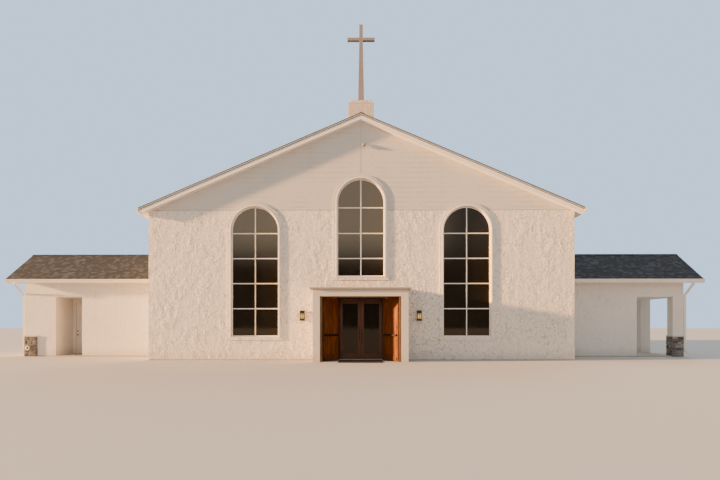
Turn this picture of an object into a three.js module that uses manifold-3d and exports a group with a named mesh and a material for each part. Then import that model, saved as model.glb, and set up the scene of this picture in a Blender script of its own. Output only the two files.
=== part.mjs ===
// Church building: a gabled nave with a projecting portal, two low wings and a cross on the ridge.
// Millimetres, +Z up. The origin is at ground level in the middle of the doorway, halfway through
// the front wall. +X runs to the right along the front, +Y runs back into the building.

import * as THREE from "three";
import { mergeVertices } from "three/addons/utils/BufferGeometryUtils.js";
import Module from "manifold-3d";

const wasm = await Module();
wasm.setup();

// Driving dimensions

const SLAB = 40;
const GAP = 0.3;
const LAP = 1;
const ARC_STEPS = 20;
const ROUND_SIDES = 16;

const NAVE = { halfWidth: 8620, wall: 300, front: -150, rear: 23850 };

const NAVE_ROOF = {
  ridgeTop: 9920,
  pitch: 0.424,
  thick: 245,
  halfWidth: 8930,
  rake: 305,
};

const BARGE = { thick: 40, height: 265, lift: 10, crownHeight: 85, crownProud: 20 };
const GUTTER = { depth: 120, height: 150 };

const ENTRY = {
  halfWidth: 920,
  head: 2540,
  liningFace: 873,
  headFace: 2495,
  casingHalfWidth: 985,
  casingThick: 15,
};

const FRONT_WINDOW = { halfWidth: 970, sill: 950, spring: 5270 };
const CENTER_WINDOW = { halfWidth: 970, sill: 3390, spring: 6400 };
const SIDE_WINDOW_X = 4295;
const SURROUND = { width: 140, projection: 40 };
const WINDOW_FRAME = { width: 42, front: -50, back: 10 };
const PANE = { front: -26, back: -14 };

const NAVE_SIDE_WINDOW = { halfWidth: 720, sill: 964, spring: 3900 };
const NAVE_SIDE_WINDOW_Y = [8400, 12200, 16000, 19800];
const GLASS_SHEET = 12;
const SHEET_MARGIN = 250;

const CENTER_SECTION_HALF_WIDTH = 2200;

const PORTAL = { halfWidth: 1850, opening: 1570, depth: 1100, top: 2790 };
const CORNICE = { overhang: 120, bevelTop: 2825, top: 2880 };

const WOOD_DOOR = {
  axisX: 935,
  axisY: -235,
  hingeEdge: 10,
  freeEdge: 930,
  frontFace: 13,
  thick: 50,
  bottom: 20,
  top: 2500,
  openDegrees: 127,
};

const PANIC_BAR = {
  height: 1030,
  start: 72,
  end: 880,
  depth: 56,
  barHeight: 48,
  endWidth: 90,
  endHeight: 70,
  endDepth: 62,
};

const GLASS_DOOR = {
  axisX: 860,
  axisY: 125,
  hingeEdge: -5,
  freeEdge: 855,
  innerFace: 20,
  thick: 45,
  bottom: 50,
  top: 2487,
  stile: 105,
  topRail: 180,
  bottomRail: 200,
  paneThick: 10,
};

const PULL = { fromFreeEdge: 52, bottom: 760, top: 1300, standOff: 50, radius: 12 };

const HINGE = {
  barrelRadius: 9,
  slimRadius: 8,
  barrelHeight: 60,
  heights: [250, 1250, 2250],
  armThick: 12,
};

const MAT = { halfWidth: 860, length: 1540, thick: 12, edge: 4, bevel: 30 };

const LANTERN = { x: 2360, bottom: 1600, top: 2010, halfWidth: 100, depth: 150, cap: 40 };

const PEDESTAL = { halfWidth: 540, front: 850, top: 10830, capHalfWidth: 450, capTop: 10970 };

const CROSS = {
  baseHalfWidth: 130,
  neckHalfWidth: 78,
  halfDepth: 85,
  barBottom: 13690,
  barTop: 13810,
  barHalfWidth: 590,
  top: 14380,
};

const WING = {
  front: 2450,
  back: 5850,
  wall: 200,
  ridgeY: 4150,
  ridgeTop: 4809,
  pitch: 0.625,
  thick: 180,
  eaveFront: 2000,
  eaveBack: 6300,
  rake: 640,
  leftEnd: -15235,
  rightEnd: 14465,
};

const WING_GUTTER = { depth: 120, height: 140, top: 3455 };

const ALCOVE = { left: -13850, right: -12650, head: 2690, depth: 1500, wall: 120 };

const WING_DOOR = {
  axisX: -12840,
  axisY: 4055,
  hingeEdge: -5,
  freeEdge: 855,
  innerFace: 20,
  thick: 45,
  bottom: 50,
  top: 2480,
  openingLeft: -13703,
  openingRight: -12827,
  openingHead: 2488,
};

const KNOB = { fromFreeEdge: 68, height: 960, radius: 28, standOff: 55, deadboltHeight: 1130 };

const PORCH = { left: 12380, wall: 120, head: 2690, ceiling: 60 };
const COLUMN = { width: 475, baseTop: 950 };
const STONE = {
  projection: 30,
  capHeight: 50,
  capProjection: 15,
  cladThick: 60,
  cladWidth: 570,
  cladLap: 25,
};

const DOWNSPOUT = { width: 110, depth: 100, wallGap: 40, reach: 150, kick: 150, foot: 150 };

// Colours and finishes seen on the building

const FINISHES = {
  stucco: { color: 0xded6ca, roughness: 0.9, metalness: 0 },
  trim: { color: 0xece8e0, roughness: 0.6, metalness: 0 },
  shingle: { color: 0x3f4145, roughness: 0.95, metalness: 0 },
  concrete: { color: 0xb9b2a7, roughness: 0.9, metalness: 0 },
  wood: { color: 0x8a4a1c, roughness: 0.5, metalness: 0 },
  bronze: { color: 0x33241b, roughness: 0.4, metalness: 0.7 },
  blackMetal: { color: 0x161616, roughness: 0.45, metalness: 0.6 },
  rubber: { color: 0x151515, roughness: 0.95, metalness: 0 },
  glass: { color: 0x2a333b, roughness: 0.08, metalness: 0 },
  stone: { color: 0xa08f80, roughness: 0.9, metalness: 0 },
  paintedDoor: { color: 0xe9e4dc, roughness: 0.5, metalness: 0 },
};

const church = new THREE.Group();
church.name = "church";

// Geometry helpers

const FRONT_PLANE = new THREE.Matrix4().makeBasis(
  new THREE.Vector3(1, 0, 0),
  new THREE.Vector3(0, 0, 1),
  new THREE.Vector3(0, -1, 0),
);

const SIDE_PLANE = new THREE.Matrix4().makeBasis(
  new THREE.Vector3(0, 1, 0),
  new THREE.Vector3(0, 0, 1),
  new THREE.Vector3(1, 0, 0),
);

/** A material made from one of the finishes. */
function finish(name) {
  return new THREE.MeshStandardMaterial(FINISHES[name]);
}

/** Adds a named piece to a group. */
function addPiece(group, name, geometry, finishName) {
  const mesh = new THREE.Mesh(geometry, finish(finishName));
  mesh.name = name;
  group.add(mesh);
  return mesh;
}

/** An axis-aligned block between two limits on each axis. */
function block([x0, x1], [y0, y1], [z0, z1]) {
  const geometry = new THREE.BoxGeometry(x1 - x0, y1 - y0, z1 - z0);
  geometry.translate((x0 + x1) / 2, (y0 + y1) / 2, (z0 + z1) / 2);
  return geometry;
}

/** A block whose top and bottom rectangles differ, each given as [x0, x1, y0, y1]. */
function taperedBlock(bottom, top, z0, z1) {
  const geometry = new THREE.BoxGeometry(1, 1, 1);
  const position = geometry.getAttribute("position");
  for (let i = 0; i < position.count; i += 1) {
    const isTop = position.getZ(i) > 0;
    const [x0, x1, y0, y1] = isTop ? top : bottom;
    const x = position.getX(i) > 0 ? x1 : x0;
    const y = position.getY(i) > 0 ? y1 : y0;
    position.setXYZ(i, x, y, isTop ? z1 : z0);
  }
  return geometry;
}

/** A closed outline from a list of [a, b] corners. */
function outline(corners) {
  return new THREE.Shape(corners.map(([a, b]) => new THREE.Vector2(a, b)));
}

/** Extrudes an outline drawn in X and Z from y0 back to y1. */
function extrudeAlongY(shape, y0, y1) {
  const settings = { depth: y1 - y0, bevelEnabled: false, curveSegments: ARC_STEPS };
  const geometry = new THREE.ExtrudeGeometry(shape, settings);
  geometry.applyMatrix4(FRONT_PLANE);
  geometry.translate(0, y1, 0);
  return geometry;
}

/** Extrudes an outline drawn in Y and Z from x0 to x1. */
function extrudeAlongX(shape, x0, x1) {
  const settings = { depth: x1 - x0, bevelEnabled: false, curveSegments: ARC_STEPS };
  const geometry = new THREE.ExtrudeGeometry(shape, settings);
  geometry.applyMatrix4(SIDE_PLANE);
  geometry.translate(x0, 0, 0);
  return geometry;
}

/** Extrudes an outline drawn in X and Y from z0 up to z1. */
function extrudeUp(shape, z0, z1) {
  const geometry = new THREE.ExtrudeGeometry(shape, { depth: z1 - z0, bevelEnabled: false });
  geometry.translate(0, 0, z0);
  return geometry;
}

/** An upright round bar. */
function uprightBar(x, y, radius, z0, z1) {
  const geometry = new THREE.CylinderGeometry(radius, radius, z1 - z0, ROUND_SIDES);
  geometry.rotateX(Math.PI / 2);
  geometry.translate(x, y, (z0 + z1) / 2);
  return geometry;
}

/** Turns a closed geometry into a solid for joining and cutting. */
function toSolid(geometry) {
  const bare = geometry.clone();
  bare.deleteAttribute("normal");
  bare.deleteAttribute("uv");
  const merged = mergeVertices(bare, 1e-3);
  const mesh = new wasm.Mesh({
    numProp: 3,
    vertProperties: new Float32Array(merged.getAttribute("position").array),
    triVerts: new Uint32Array(merged.index.array),
  });
  return new wasm.Manifold(mesh);
}

/** Turns a solid back into a geometry. */
function toGeometry(solid) {
  const mesh = solid.getMesh();
  const geometry = new THREE.BufferGeometry();
  geometry.setAttribute("position", new THREE.BufferAttribute(mesh.vertProperties, 3));
  geometry.setIndex(new THREE.BufferAttribute(mesh.triVerts, 1));
  geometry.computeVertexNormals();
  return geometry;
}

/** Joins pieces that touch or overlap into one solid. */
function join(first, ...others) {
  const joined = others.reduce((sum, other) => sum.add(toSolid(other)), toSolid(first));
  return toGeometry(joined);
}

/** Cuts pieces out of a geometry. */
function cut(base, ...tools) {
  const left = tools.reduce((rest, tool) => rest.subtract(toSolid(tool)), toSolid(base));
  return toGeometry(left);
}

// Heights of the roofs

/** Height of the underside of the nave roof at a distance from the ridge line. */
function naveSoffit(x) {
  return NAVE_ROOF.ridgeTop - NAVE_ROOF.thick - NAVE_ROOF.pitch * Math.abs(x);
}

/** Height of the underside of a wing roof at a given depth. */
function wingSoffit(y) {
  return WING.ridgeTop - WING.thick - WING.pitch * Math.abs(y - WING.ridgeY);
}

// Arched openings

/** Outline of an arched window drawn on its wall, grown by a margin on all sides. */
function archOutline(center, window, margin) {
  const half = window.halfWidth + margin;
  const shape = new THREE.Shape();
  shape.moveTo(center - half, window.sill - margin);
  shape.lineTo(center + half, window.sill - margin);
  shape.lineTo(center + half, window.spring);
  shape.absarc(center, window.spring, half, 0, Math.PI, false);
  shape.closePath();
  return shape;
}

/** The raised band around an arched window in a wall that faces the front or the rear. */
function windowBand(center, window, y0, y1) {
  return extrudeAlongY(archOutline(center, window, SURROUND.width), y0, y1);
}

/** The hole of an arched window, cut right through the front or rear wall. */
function windowHole(center, window, wallY) {
  const reach = NAVE.wall;
  return extrudeAlongY(archOutline(center, window, 0), wallY - reach, wallY + reach);
}

/** Frame and pane of one arched window in the front wall. */
function addFrontWindow(suffix, center, window) {
  const { width, front, back } = WINDOW_FRAME;
  const ring = cut(
    extrudeAlongY(archOutline(center, window, -GAP), front, back),
    extrudeAlongY(archOutline(center, window, -width), front - 1, back + 1),
  );
  addPiece(church, `front_window_${suffix}`, ring, "trim");
  const pane = extrudeAlongY(archOutline(center, window, -width - GAP), PANE.front, PANE.back);
  addPiece(church, `front_glass_${suffix}`, pane, "glass");
}

// Nave

/** One slab under the nave and both wings, notched for the front porch column's base. */
function addFloorSlab() {
  const notchX = WING.rightEnd - COLUMN.width - STONE.projection;
  const notchFront = WING.front + COLUMN.width + STONE.projection;
  const corners = [
    [-NAVE.halfWidth, NAVE.front],
    [NAVE.halfWidth, NAVE.front],
    [NAVE.halfWidth, WING.front],
    [notchX, WING.front],
    [notchX, notchFront],
    [WING.rightEnd, notchFront],
    [WING.rightEnd, WING.back],
    [NAVE.halfWidth, WING.back],
    [NAVE.halfWidth, NAVE.rear],
    [-NAVE.halfWidth, NAVE.rear],
    [-NAVE.halfWidth, WING.back],
    [WING.leftEnd, WING.back],
    [WING.leftEnd, WING.front],
    [-NAVE.halfWidth, WING.front],
  ];
  addPiece(church, "floor_slab", extrudeUp(outline(corners), 0, SLAB), "concrete");
}

/** A front wall beside the doorway, with its arched window and the pier next to the door. */
function addFrontWallSide(name, side) {
  const inner = CENTER_SECTION_HALF_WIDTH;
  const corners = [
    [side * NAVE.halfWidth, SLAB],
    [side * ENTRY.halfWidth, SLAB],
    [side * ENTRY.halfWidth, ENTRY.head],
    [side * inner, ENTRY.head],
    [side * inner, naveSoffit(inner) - GAP],
    [side * NAVE.halfWidth, naveSoffit(NAVE.halfWidth) - GAP],
  ];
  const center = side * SIDE_WINDOW_X;
  const back = NAVE.front + NAVE.wall;
  const wall = extrudeAlongY(outline(corners), NAVE.front, back);
  const band = windowBand(center, FRONT_WINDOW, NAVE.front - SURROUND.projection, 0);
  const hole = windowHole(center, FRONT_WINDOW, 0);
  addPiece(church, name, cut(join(wall, band), hole), "stucco");
}

/** The front wall over the doorway, up to the gable's peak. */
function addFrontWallCenter() {
  const half = CENTER_SECTION_HALF_WIDTH;
  const corners = [
    [-half + GAP, ENTRY.head + GAP],
    [half - GAP, ENTRY.head + GAP],
    [half - GAP, naveSoffit(half) - GAP],
    [0, naveSoffit(0) - GAP],
    [-half + GAP, naveSoffit(half) - GAP],
  ];
  const wall = extrudeAlongY(outline(corners), NAVE.front, NAVE.front + NAVE.wall);
  const band = windowBand(0, CENTER_WINDOW, NAVE.front - SURROUND.projection, 0);
  const hole = windowHole(0, CENTER_WINDOW, 0);
  addPiece(church, "front_wall_center", cut(join(wall, band), hole), "stucco");
}

/** The rear gable wall, which repeats the arched windows of the front. */
function addRearWall() {
  const corners = [
    [-NAVE.halfWidth, SLAB],
    [NAVE.halfWidth, SLAB],
    [NAVE.halfWidth, naveSoffit(NAVE.halfWidth) - GAP],
    [0, naveSoffit(0) - GAP],
    [-NAVE.halfWidth, naveSoffit(NAVE.halfWidth) - GAP],
  ];
  const inner = NAVE.rear - NAVE.wall;
  const middle = NAVE.rear - NAVE.wall / 2;
  const wall = extrudeAlongY(outline(corners), inner, NAVE.rear);
  const bands = [-SIDE_WINDOW_X, SIDE_WINDOW_X].map((x) =>
    windowBand(x, FRONT_WINDOW, middle, NAVE.rear + SURROUND.projection),
  );
  const holes = [-SIDE_WINDOW_X, SIDE_WINDOW_X].map((x) => windowHole(x, FRONT_WINDOW, middle));
  addPiece(church, "rear_wall", cut(join(wall, ...bands), ...holes), "stucco");
  const reach = SIDE_WINDOW_X + FRONT_WINDOW.halfWidth + SHEET_MARGIN;
  const crown = FRONT_WINDOW.spring + FRONT_WINDOW.halfWidth + SHEET_MARGIN;
  const sheet = block(
    [-reach, reach],
    [inner - GLASS_SHEET, inner],
    [FRONT_WINDOW.sill - SHEET_MARGIN, crown],
  );
  addPiece(church, "rear_glass", sheet, "glass");
}

/** A long side wall of the nave with its row of arched windows and the glass behind them. */
function addNaveSideWall(suffix, side) {
  const front = NAVE.front + NAVE.wall;
  const back = NAVE.rear - NAVE.wall;
  const outer = side * NAVE.halfWidth;
  const inner = side * (NAVE.halfWidth - NAVE.wall);
  const corners = [
    [outer, SLAB],
    [inner, SLAB],
    [inner, naveSoffit(inner) - GAP],
    [outer, naveSoffit(outer) - GAP],
  ];
  const wall = extrudeAlongY(outline(corners), front, back);
  const bandOuter = outer + side * SURROUND.projection;
  const [bandLow, bandHigh] = [inner + side * 100, bandOuter].sort((a, b) => a - b);
  const [holeLow, holeHigh] = [inner - side * 100, bandOuter + side * 10].sort((a, b) => a - b);
  const bands = NAVE_SIDE_WINDOW_Y.map((y) =>
    extrudeAlongX(archOutline(y, NAVE_SIDE_WINDOW, SURROUND.width), bandLow, bandHigh),
  );
  const holes = NAVE_SIDE_WINDOW_Y.map((y) =>
    extrudeAlongX(archOutline(y, NAVE_SIDE_WINDOW, 0), holeLow, holeHigh),
  );
  addPiece(church, `${suffix}_nave_wall`, cut(join(wall, ...bands), ...holes), "stucco");
  addNaveSideGlass(suffix, side);
}

/** One sheet of glass behind all the windows of a nave side wall. */
function addNaveSideGlass(suffix, side) {
  const face = side * (NAVE.halfWidth - NAVE.wall);
  const reach = NAVE_SIDE_WINDOW.halfWidth + SHEET_MARGIN;
  const first = NAVE_SIDE_WINDOW_Y[0] - reach;
  const last = NAVE_SIDE_WINDOW_Y[NAVE_SIDE_WINDOW_Y.length - 1] + reach;
  const crown = NAVE_SIDE_WINDOW.spring + NAVE_SIDE_WINDOW.halfWidth + SHEET_MARGIN;
  const [low, high] = [face - side * GLASS_SHEET, face].sort((a, b) => a - b);
  const sheet = block([low, high], [first, last], [NAVE_SIDE_WINDOW.sill - SHEET_MARGIN, crown]);
  addPiece(church, `${suffix}_nave_glass`, sheet, "glass");
}

/** One slope of the nave roof, from the ridge to the eave. */
function addNaveRoofSlope(suffix, side) {
  const { ridgeTop, pitch, thick, halfWidth, rake } = NAVE_ROOF;
  const eaveTop = ridgeTop - pitch * halfWidth;
  const ridgeX = side * GAP;
  const corners = [
    [ridgeX, ridgeTop - pitch * GAP],
    [side * halfWidth, eaveTop],
    [side * halfWidth, eaveTop - thick],
    [ridgeX, ridgeTop - thick - pitch * GAP],
  ];
  const reach = rake - BARGE.thick - BARGE.crownProud;
  const slope = extrudeAlongY(outline(corners), NAVE.front - reach, NAVE.rear + reach);
  addPiece(church, `main_roof_${suffix}`, slope, "shingle");
}

/** A band of a gable's edge board, from its top line down to a height below it. */
function bargeBand(height, y0, y1) {
  const { ridgeTop, pitch, halfWidth } = NAVE_ROOF;
  const top = (x) => ridgeTop + BARGE.lift - pitch * x;
  const corners = [
    [-halfWidth, top(halfWidth)],
    [-halfWidth, top(halfWidth) - height],
    [0, top(0) - height],
    [halfWidth, top(halfWidth) - height],
    [halfWidth, top(halfWidth)],
    [0, top(0)],
  ];
  return extrudeAlongY(outline(corners), Math.min(y0, y1), Math.max(y0, y1));
}

/** The white board along both slopes of a gable end, with a raised band along its top. */
function addBargeboard(name, outerY, inward) {
  const { thick, height, crownHeight, crownProud } = BARGE;
  const face = outerY + inward * crownProud;
  const board = bargeBand(height, face, face + inward * thick);
  const crown = bargeBand(crownHeight, outerY, face + inward * 1);
  addPiece(church, name, join(board, crown), "trim");
}

/** The hooded gutter along one long eave of the nave. */
function addNaveGutter(suffix, side) {
  const { ridgeTop, pitch, halfWidth, rake } = NAVE_ROOF;
  const eaveTop = ridgeTop - pitch * halfWidth;
  const near = side * halfWidth;
  const far = side * (halfWidth + GUTTER.depth);
  const top = eaveTop - 30;
  const corners = [
    [near, top],
    [far, top],
    [far, top - GUTTER.height * 0.6],
    [side * (halfWidth + GUTTER.depth * 0.65), top - GUTTER.height],
    [near, top - GUTTER.height],
  ];
  const bar = extrudeAlongY(outline(corners), NAVE.front - rake, NAVE.rear + rake);
  addPiece(church, `main_gutter_${suffix}`, bar, "trim");
}

// Cross on the ridge

/** The square pedestal astride the ridge, with its cap. */
function addPedestal() {
  const { halfWidth, front, top, capHalfWidth, capTop } = PEDESTAL;
  const seat = (x) => NAVE_ROOF.ridgeTop - NAVE_ROOF.pitch * Math.abs(x) + GAP;
  const corners = [
    [-halfWidth, seat(halfWidth)],
    [0, seat(0)],
    [halfWidth, seat(halfWidth)],
    [halfWidth, top],
    [-halfWidth, top],
  ];
  const back = front + 2 * halfWidth;
  const inset = halfWidth - capHalfWidth;
  const body = extrudeAlongY(outline(corners), front, back);
  const cap = block([-capHalfWidth, capHalfWidth], [front + inset, back - inset], [top, capTop]);
  addPiece(church, "cross_pedestal", join(body, cap), "stucco");
}

/** The cross, with an upright that narrows towards the bar. */
function addCross() {
  const centerY = PEDESTAL.front + PEDESTAL.halfWidth;
  const { baseHalfWidth, neckHalfWidth, halfDepth, barBottom, barTop, barHalfWidth, top } = CROSS;
  const base = [-baseHalfWidth, baseHalfWidth, centerY - baseHalfWidth, centerY + baseHalfWidth];
  const neck = [-neckHalfWidth, neckHalfWidth, centerY - halfDepth, centerY + halfDepth];
  const lower = taperedBlock(base, neck, PEDESTAL.capTop, barBottom);
  const depth = [centerY - halfDepth, centerY + halfDepth];
  const upper = block([-neckHalfWidth, neckHalfWidth], depth, [barBottom, top]);
  const bar = block([-barHalfWidth, barHalfWidth], depth, [barBottom, barTop]);
  addPiece(church, "cross", join(lower, upper, bar), "trim");
}

// Portal and entrance

/** The two jambs and the header with its cornice that frame the entrance. */
function addPortal() {
  const depth = [NAVE.front - PORTAL.depth, NAVE.front];
  for (const [suffix, side] of [["left", -1], ["right", 1]]) {
    const [low, high] = [side * PORTAL.opening, side * PORTAL.halfWidth].sort((a, b) => a - b);
    addPiece(church, `portal_pier_${suffix}`, block([low, high], depth, [0, ENTRY.head]), "trim");
  }
  const { halfWidth, top } = PORTAL;
  const { overhang, bevelTop } = CORNICE;
  const wide = halfWidth + overhang;
  const header = block([-halfWidth, halfWidth], depth, [ENTRY.head, top]);
  const cove = taperedBlock(
    [-halfWidth, halfWidth, depth[0], depth[1]],
    [-wide, wide, depth[0] - overhang, depth[1]],
    top,
    bevelTop,
  );
  const lid = block([-wide, wide], [depth[0] - overhang, depth[1]], [bevelTop, CORNICE.top]);
  addPiece(church, "portal_header", join(header, cove, lid), "trim");
}

/** Hinge barrels fixed to a frame, each with an arm that reaches back to it. */
function fixedHinges(axisX, axisY, radius, armX, armY) {
  return HINGE.heights.flatMap((z) => [
    uprightBar(axisX, axisY, radius, z - HINGE.barrelHeight, z),
    block(armX, armY, [z - HINGE.barrelHeight, z]),
  ]);
}

/** The dark metal frame that lines the doorway and carries both pairs of doors. */
function addEntryFrame() {
  const { halfWidth, head, liningFace, headFace, casingHalfWidth, casingThick } = ENTRY;
  const back = NAVE.front + NAVE.wall;
  const face = NAVE.front - casingThick;
  const doorway = block([-liningFace, liningFace], [face - 1, back + 1], [0, headFace]);
  const lining = block([-halfWidth, halfWidth], [face, back], [SLAB, head]);
  const casing = block([-casingHalfWidth, casingHalfWidth], [face, NAVE.front], [SLAB, head]);
  const hinges = [-1, 1].flatMap((side) => entryHinges(side, face));
  const frame = cut(join(lining, casing), doorway);
  addPiece(church, "entry_frame", join(frame, ...hinges), "bronze");
}

/** Fixed hinge barrels for the wood leaf and the glass leaf on one side of the doorway. */
function entryHinges(side, face) {
  const { axisX, axisY } = WOOD_DOOR;
  const woodArmX = [axisX, axisX + 2 * HINGE.armThick].map((x) => side * x).sort((a, b) => a - b);
  const wood = fixedHinges(side * axisX, axisY, HINGE.barrelRadius, woodArmX, [
    axisY - HINGE.armThick / 2,
    face + 1,
  ]);
  const glassX = GLASS_DOOR.axisX;
  const glassArmX = [glassX, ENTRY.liningFace + 1].map((x) => side * x).sort((a, b) => a - b);
  const glass = fixedHinges(side * glassX, GLASS_DOOR.axisY, HINGE.slimRadius, glassArmX, [
    GLASS_DOOR.axisY - HINGE.armThick / 2,
    GLASS_DOOR.axisY + HINGE.armThick / 2,
  ]);
  return [...wood, ...glass];
}

/** A hinged leaf's group, placed on its hinge line and turned to where it stands at rest. */
function leafGroup(x, y, degrees) {
  const group = new THREE.Group();
  group.position.set(x, y, 0);
  group.rotation.z = THREE.MathUtils.degToRad(degrees);
  church.add(group);
  return group;
}

/** An extent measured from the hinge line towards the free edge, mirrored for the left leaf. */
function fromHinge(side, a, b) {
  return [-side * a, -side * b].sort((p, q) => p - q);
}

/** Moving hinge barrels of a leaf, standing on the fixed ones, with an arm to the leaf. */
function leafHinges(side, radius, armLength, armY) {
  return HINGE.heights.flatMap((z) => [
    uprightBar(0, 0, radius, z + GAP, z + HINGE.barrelHeight),
    block(fromHinge(side, 0, armLength), armY, [z + GAP, z + HINGE.barrelHeight]),
  ]);
}

/** A stained wood leaf that stands open in front of the wall, with its panic bar. */
function addWoodDoor(suffix, side) {
  const door = WOOD_DOOR;
  const group = leafGroup(side * door.axisX, door.axisY, side * door.openDegrees);
  const back = door.frontFace + door.thick;
  const across = fromHinge(side, door.hingeEdge, door.freeEdge);
  const board = block(across, [door.frontFace, back], [door.bottom, door.top]);
  const armY = [-HINGE.armThick / 2, door.frontFace + 1];
  const hinges = leafHinges(side, HINGE.barrelRadius, 4 * door.hingeEdge, armY);
  addPiece(group, `wood_door_${suffix}`, join(board, ...hinges), "wood");
  addPiece(group, `panic_bar_${suffix}`, panicBar(side, back), "blackMetal");
}

/** The housed push bar on the inner face of a wood leaf, with a thicker case at each end. */
function panicBar(side, leafBack) {
  const { height, start, end, depth, barHeight, endWidth, endHeight, endDepth } = PANIC_BAR;
  const near = leafBack + GAP;
  const barZ = [height - barHeight / 2, height + barHeight / 2];
  const endY = [near, near + endDepth];
  const endZ = [height - endHeight / 2, height + endHeight / 2];
  return join(
    block(fromHinge(side, start, end), [near, near + depth], barZ),
    block(fromHinge(side, start, start + endWidth), endY, endZ),
    block(fromHinge(side, end - endWidth, end), endY, endZ),
  );
}

/** A glass leaf in its dark metal frame, with a pull on the outside. */
function addGlassDoor(suffix, side) {
  const door = GLASS_DOOR;
  const group = leafGroup(side * door.axisX, door.axisY, 0);
  const inner = -door.innerFace;
  const outer = inner - door.thick;
  const board = block(
    fromHinge(side, door.hingeEdge, door.freeEdge),
    [outer, inner],
    [door.bottom, door.top],
  );
  const openingX = fromHinge(side, door.hingeEdge + door.stile, door.freeEdge - door.stile);
  const openingZ = [door.bottom + door.bottomRail, door.top - door.topRail];
  const opening = block(openingX, [outer - 1, inner + 1], openingZ);
  const armY = [inner - 1, HINGE.armThick / 2];
  const hinges = leafHinges(side, HINGE.slimRadius, 2 * HINGE.armThick, armY);
  addPiece(group, `glass_door_${suffix}`, join(cut(board, opening), ...hinges), "bronze");
  addPiece(group, `door_pull_${suffix}`, pullHandle(side, outer), "blackMetal");
  const middle = (outer + inner) / 2;
  const pane = block(
    [openingX[0] + GAP, openingX[1] - GAP],
    [middle - door.paneThick / 2, middle + door.paneThick / 2],
    [openingZ[0] + GAP, openingZ[1] - GAP],
  );
  addPiece(group, `door_glass_${suffix}`, pane, "glass");
}

/** The upright pull with its two posts, which stand on a glass leaf's meeting stile. */
function pullHandle(side, outer) {
  const x = -side * (GLASS_DOOR.freeEdge - PULL.fromFreeEdge);
  const gripY = outer - PULL.standOff + PULL.radius;
  const grip = uprightBar(x, gripY, PULL.radius, PULL.bottom, PULL.top);
  const posts = [PULL.bottom + 60, PULL.top - 60].map((z) =>
    block([x - PULL.radius, x + PULL.radius], [gripY, outer - GAP], [z - PULL.radius, z + PULL.radius]),
  );
  return join(grip, ...posts);
}

/** The thin mat in front of the doorway, with a bevelled outer edge. */
function addEntryMat() {
  const outer = NAVE.front - MAT.length;
  const section = outline([
    [outer, 0],
    [NAVE.front, 0],
    [NAVE.front, MAT.thick],
    [outer + MAT.bevel, MAT.thick],
    [outer, MAT.edge],
  ]);
  addPiece(church, "entry_mat", extrudeAlongX(section, -MAT.halfWidth, MAT.halfWidth), "rubber");
}

/** A box lantern on the wall with a cap at the top and bottom. */
function addLantern(suffix, side) {
  const { x, bottom, top, halfWidth, depth, cap } = LANTERN;
  const center = side * x;
  const capX = [center - halfWidth, center + halfWidth];
  const bodyX = [center - halfWidth + 20, center + halfWidth - 20];
  const capY = [NAVE.front - depth, NAVE.front];
  const bodyY = [NAVE.front - depth + 20, NAVE.front];
  const lantern = join(
    block(capX, capY, [bottom, bottom + cap]),
    block(bodyX, bodyY, [bottom + cap, top - cap]),
    block(capX, capY, [top - cap, top]),
  );
  addPiece(church, `sconce_${suffix}`, lantern, "blackMetal");
}

// Wings

/** Section of a wing wall that runs along the front or back, topped by the roof's slope. */
function wingWallSection(outerY, innerY, bottom) {
  return outline([
    [outerY, bottom],
    [innerY, bottom],
    [innerY, wingSoffit(innerY) - GAP],
    [outerY, wingSoffit(outerY) - GAP],
  ]);
}

/** Gable outline of a wing between the inner faces of its front and back walls. */
function wingGableOutline(bottom, lap = 0) {
  const front = WING.front + WING.wall;
  const back = WING.back - WING.wall + lap;
  return outline([
    [front, bottom],
    [back, bottom],
    [back, wingSoffit(back) - GAP],
    [WING.ridgeY, wingSoffit(WING.ridgeY) - GAP],
    [front, wingSoffit(front) - GAP],
  ]);
}

/** The gable roof of a wing, as one piece over both slopes. */
function addWingRoof(name, x0, x1) {
  const { eaveFront, eaveBack, ridgeY, ridgeTop, pitch, thick } = WING;
  const eaveTop = ridgeTop - pitch * (ridgeY - eaveFront);
  const corners = [
    [eaveFront, eaveTop - thick],
    [ridgeY, ridgeTop - thick],
    [eaveBack, eaveTop - thick],
    [eaveBack, eaveTop],
    [ridgeY, ridgeTop],
    [eaveFront, eaveTop],
  ];
  addPiece(church, name, extrudeAlongX(outline(corners), x0, x1), "shingle");
}

/** The hooded gutter along the front eave of a wing. */
function addWingGutter(name, x0, x1) {
  const { depth, height, top } = WING_GUTTER;
  const near = WING.eaveFront;
  const corners = [
    [near, top],
    [near, top - height],
    [near - depth * 0.65, top - height],
    [near - depth, top - height * 0.4],
    [near - depth, top],
  ];
  addPiece(church, name, extrudeAlongX(outline(corners), x0, x1), "trim");
}

/** A downspout that drops from the gutter, slants back to the end wall and kicks out at its foot. */
function addDownspout(name, side, endWallX) {
  const { width, depth, wallGap, reach, kick, foot } = DOWNSPOUT;
  const gutterBottom = WING_GUTTER.top - WING_GUTTER.height;
  const wallX = endWallX + side * (width / 2 + wallGap);
  const outletX = endWallX + side * reach;
  const outletY = WING.eaveFront - WING_GUTTER.depth / 2;
  const runY = WING.front + 80;
  const points = [
    new THREE.Vector3(outletX, outletY, gutterBottom - GAP),
    new THREE.Vector3(outletX, outletY, gutterBottom - 80),
    new THREE.Vector3(wallX, runY, gutterBottom - 560),
    new THREE.Vector3(wallX, runY, foot + kick),
    new THREE.Vector3(wallX + side * kick, runY - kick * 0.3, foot),
  ];
  addPiece(church, name, pipeAlong(points, width, depth), "trim");
}

/** A rectangular pipe along a path of straight runs. */
function pipeAlong(points, width, depth) {
  const runs = [];
  for (let i = 0; i + 1 < points.length; i += 1) {
    runs.push(pipeRun(points[i], points[i + 1], width, depth));
  }
  return join(...runs);
}

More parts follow.
